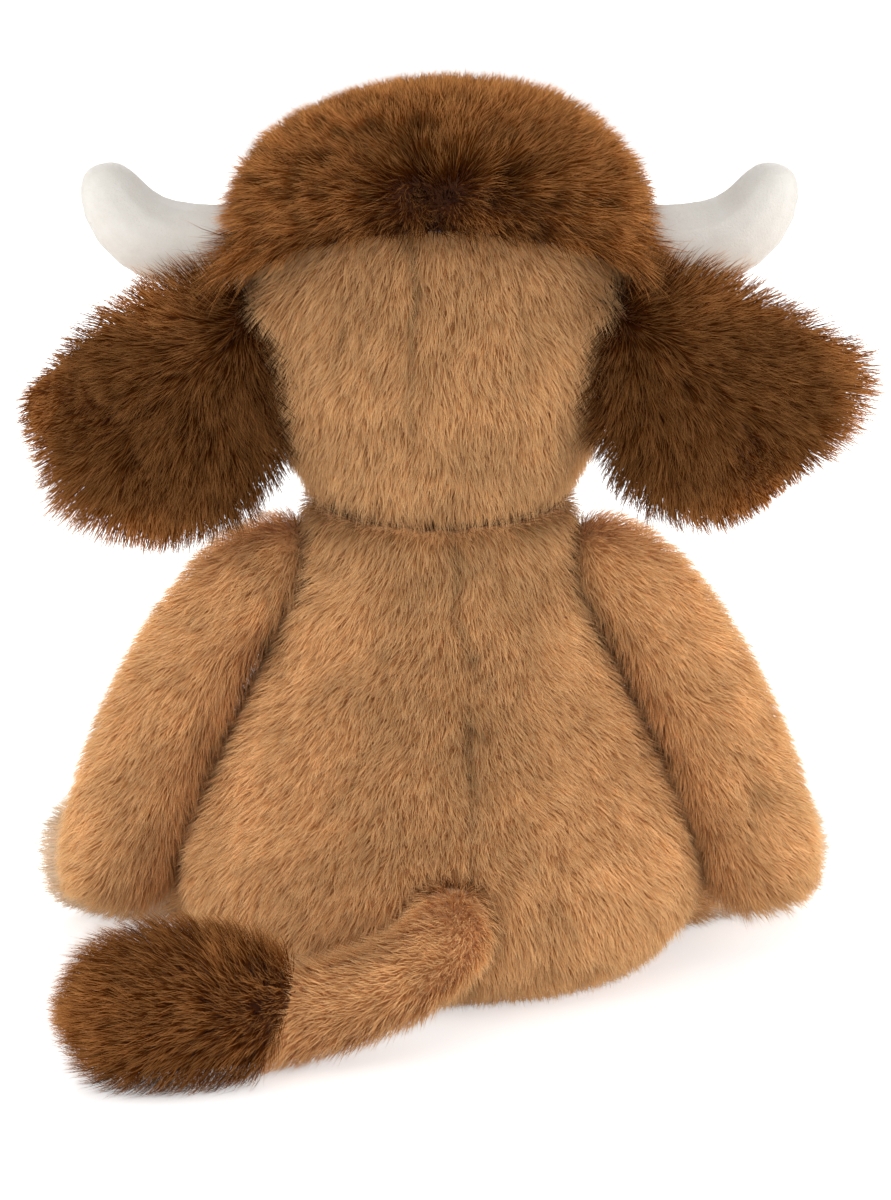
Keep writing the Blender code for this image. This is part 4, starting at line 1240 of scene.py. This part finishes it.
view = {"elevation": 13, "distance": 1.3, "aim": (0, 0, 0.113), "lens": 130, "sensor": 36, "shift": 0.005}
stage = {
    "floorSize": 16, "floorDrop": 0.05 * mm, "floorColour": (0.88, 0.88, 0.88, 1), "floorGlow": 0.5,
    "room": 0.7,
    "lamps": {  # where each hangs, how wide it is and its watts
        "keyLight": ((0.7, 1.3, 1.2), 1.0, 4),
        "lowLight": ((-0.3, 1.6, 0.12), 1.0, 8.5),
        "leftLight": ((1.5, 0.3, 0.12), 1.3, 17),
        "rightLight": ((-1.5, 0.3, 0.12), 1.3, 21),
        "backLight": ((0.0, -1.5, 0.9), 1.3, 20),
    },
}


def addArea(name, place, size, power):
    light = bpy.data.lights.new(name, "AREA")
    light.size = size
    light.energy = power
    lamp = bpy.data.objects.new(name, light)
    lamp.location = place
    bpy.context.scene.collection.objects.link(lamp)
    lamp.rotation_euler = (Vector(view["aim"]) - Vector(place)).to_track_quat("-Z", "Y").to_euler()


def seenDirectly(tree):
    # 1 for what the camera or a glossy surface sees, and 0 for light on the object
    path = tree.nodes.new("ShaderNodeLightPath")
    seen = tree.nodes.new("ShaderNodeMath")
    seen.operation = "MAXIMUM"
    tree.links.new(path.outputs["Is Camera Ray"], seen.inputs[0])
    tree.links.new(path.outputs["Is Glossy Ray"], seen.inputs[1])
    return seen.outputs["Value"]


def floorMaterial():
    material = bpy.data.materials.new("floorWhite")
    material.use_nodes = True
    tree = material.node_tree
    shader = tree.nodes["Principled BSDF"]
    shader.inputs["Base Color"].default_value = stage["floorColour"]
    shader.inputs["Roughness"].default_value = 1
    shader.inputs["Specular IOR Level"].default_value = 0
    shader.inputs["Emission Color"].default_value = (1, 1, 1, 1)
    glow = tree.nodes.new("ShaderNodeMath")
    glow.operation = "MULTIPLY"
    glow.inputs[1].default_value = stage["floorGlow"]
    tree.links.new(seenDirectly(tree), glow.inputs[0])
    tree.links.new(glow.outputs["Value"], shader.inputs["Emission Strength"])
    return material


def setWorld(strength):
    world = bpy.data.worlds.new("softRoom")
    bpy.context.scene.world = world
    world.use_nodes = True
    tree = world.node_tree
    background = tree.nodes["Background"]
    background.inputs["Color"].default_value = (1, 1, 1, 1)
    pick = tree.nodes.new("ShaderNodeMapRange")
    setRange(pick, None, (strength, 1))
    tree.links.new(seenDirectly(tree), pick.inputs["Value"])
    tree.links.new(pick.outputs["Result"], background.inputs["Strength"])


bpy.ops.mesh.primitive_plane_add(size=stage["floorSize"], location=(0, 0, -stage["floorDrop"]))
floor = bpy.context.view_layer.objects.active
floor.name = "floor"
floor.data.materials.append(floorMaterial())
setWorld(stage["room"])
for name, (place, size, power) in stage["lamps"].items():
    addArea(name, place, size, power)

elevation = math.radians(view["elevation"])
cameraData = bpy.data.cameras.new("camera")
cameraData.lens = view["lens"]
cameraData.sensor_width = view["sensor"]
camera = bpy.data.objects.new("camera", cameraData)
bpy.context.scene.collection.objects.link(camera)
offset = Vector((0, math.cos(elevation), math.sin(elevation))) * view["distance"]
camera.location = Vector(view["aim"]) + offset
camera.rotation_euler = (-offset).to_track_quat("-Z", "Y").to_euler()
cameraData.shift_x = view["shift"]
bpy.context.scene.camera = camera
bpy.context.scene.view_settings.view_transform = "Standard"

print("stage, lights and camera set")
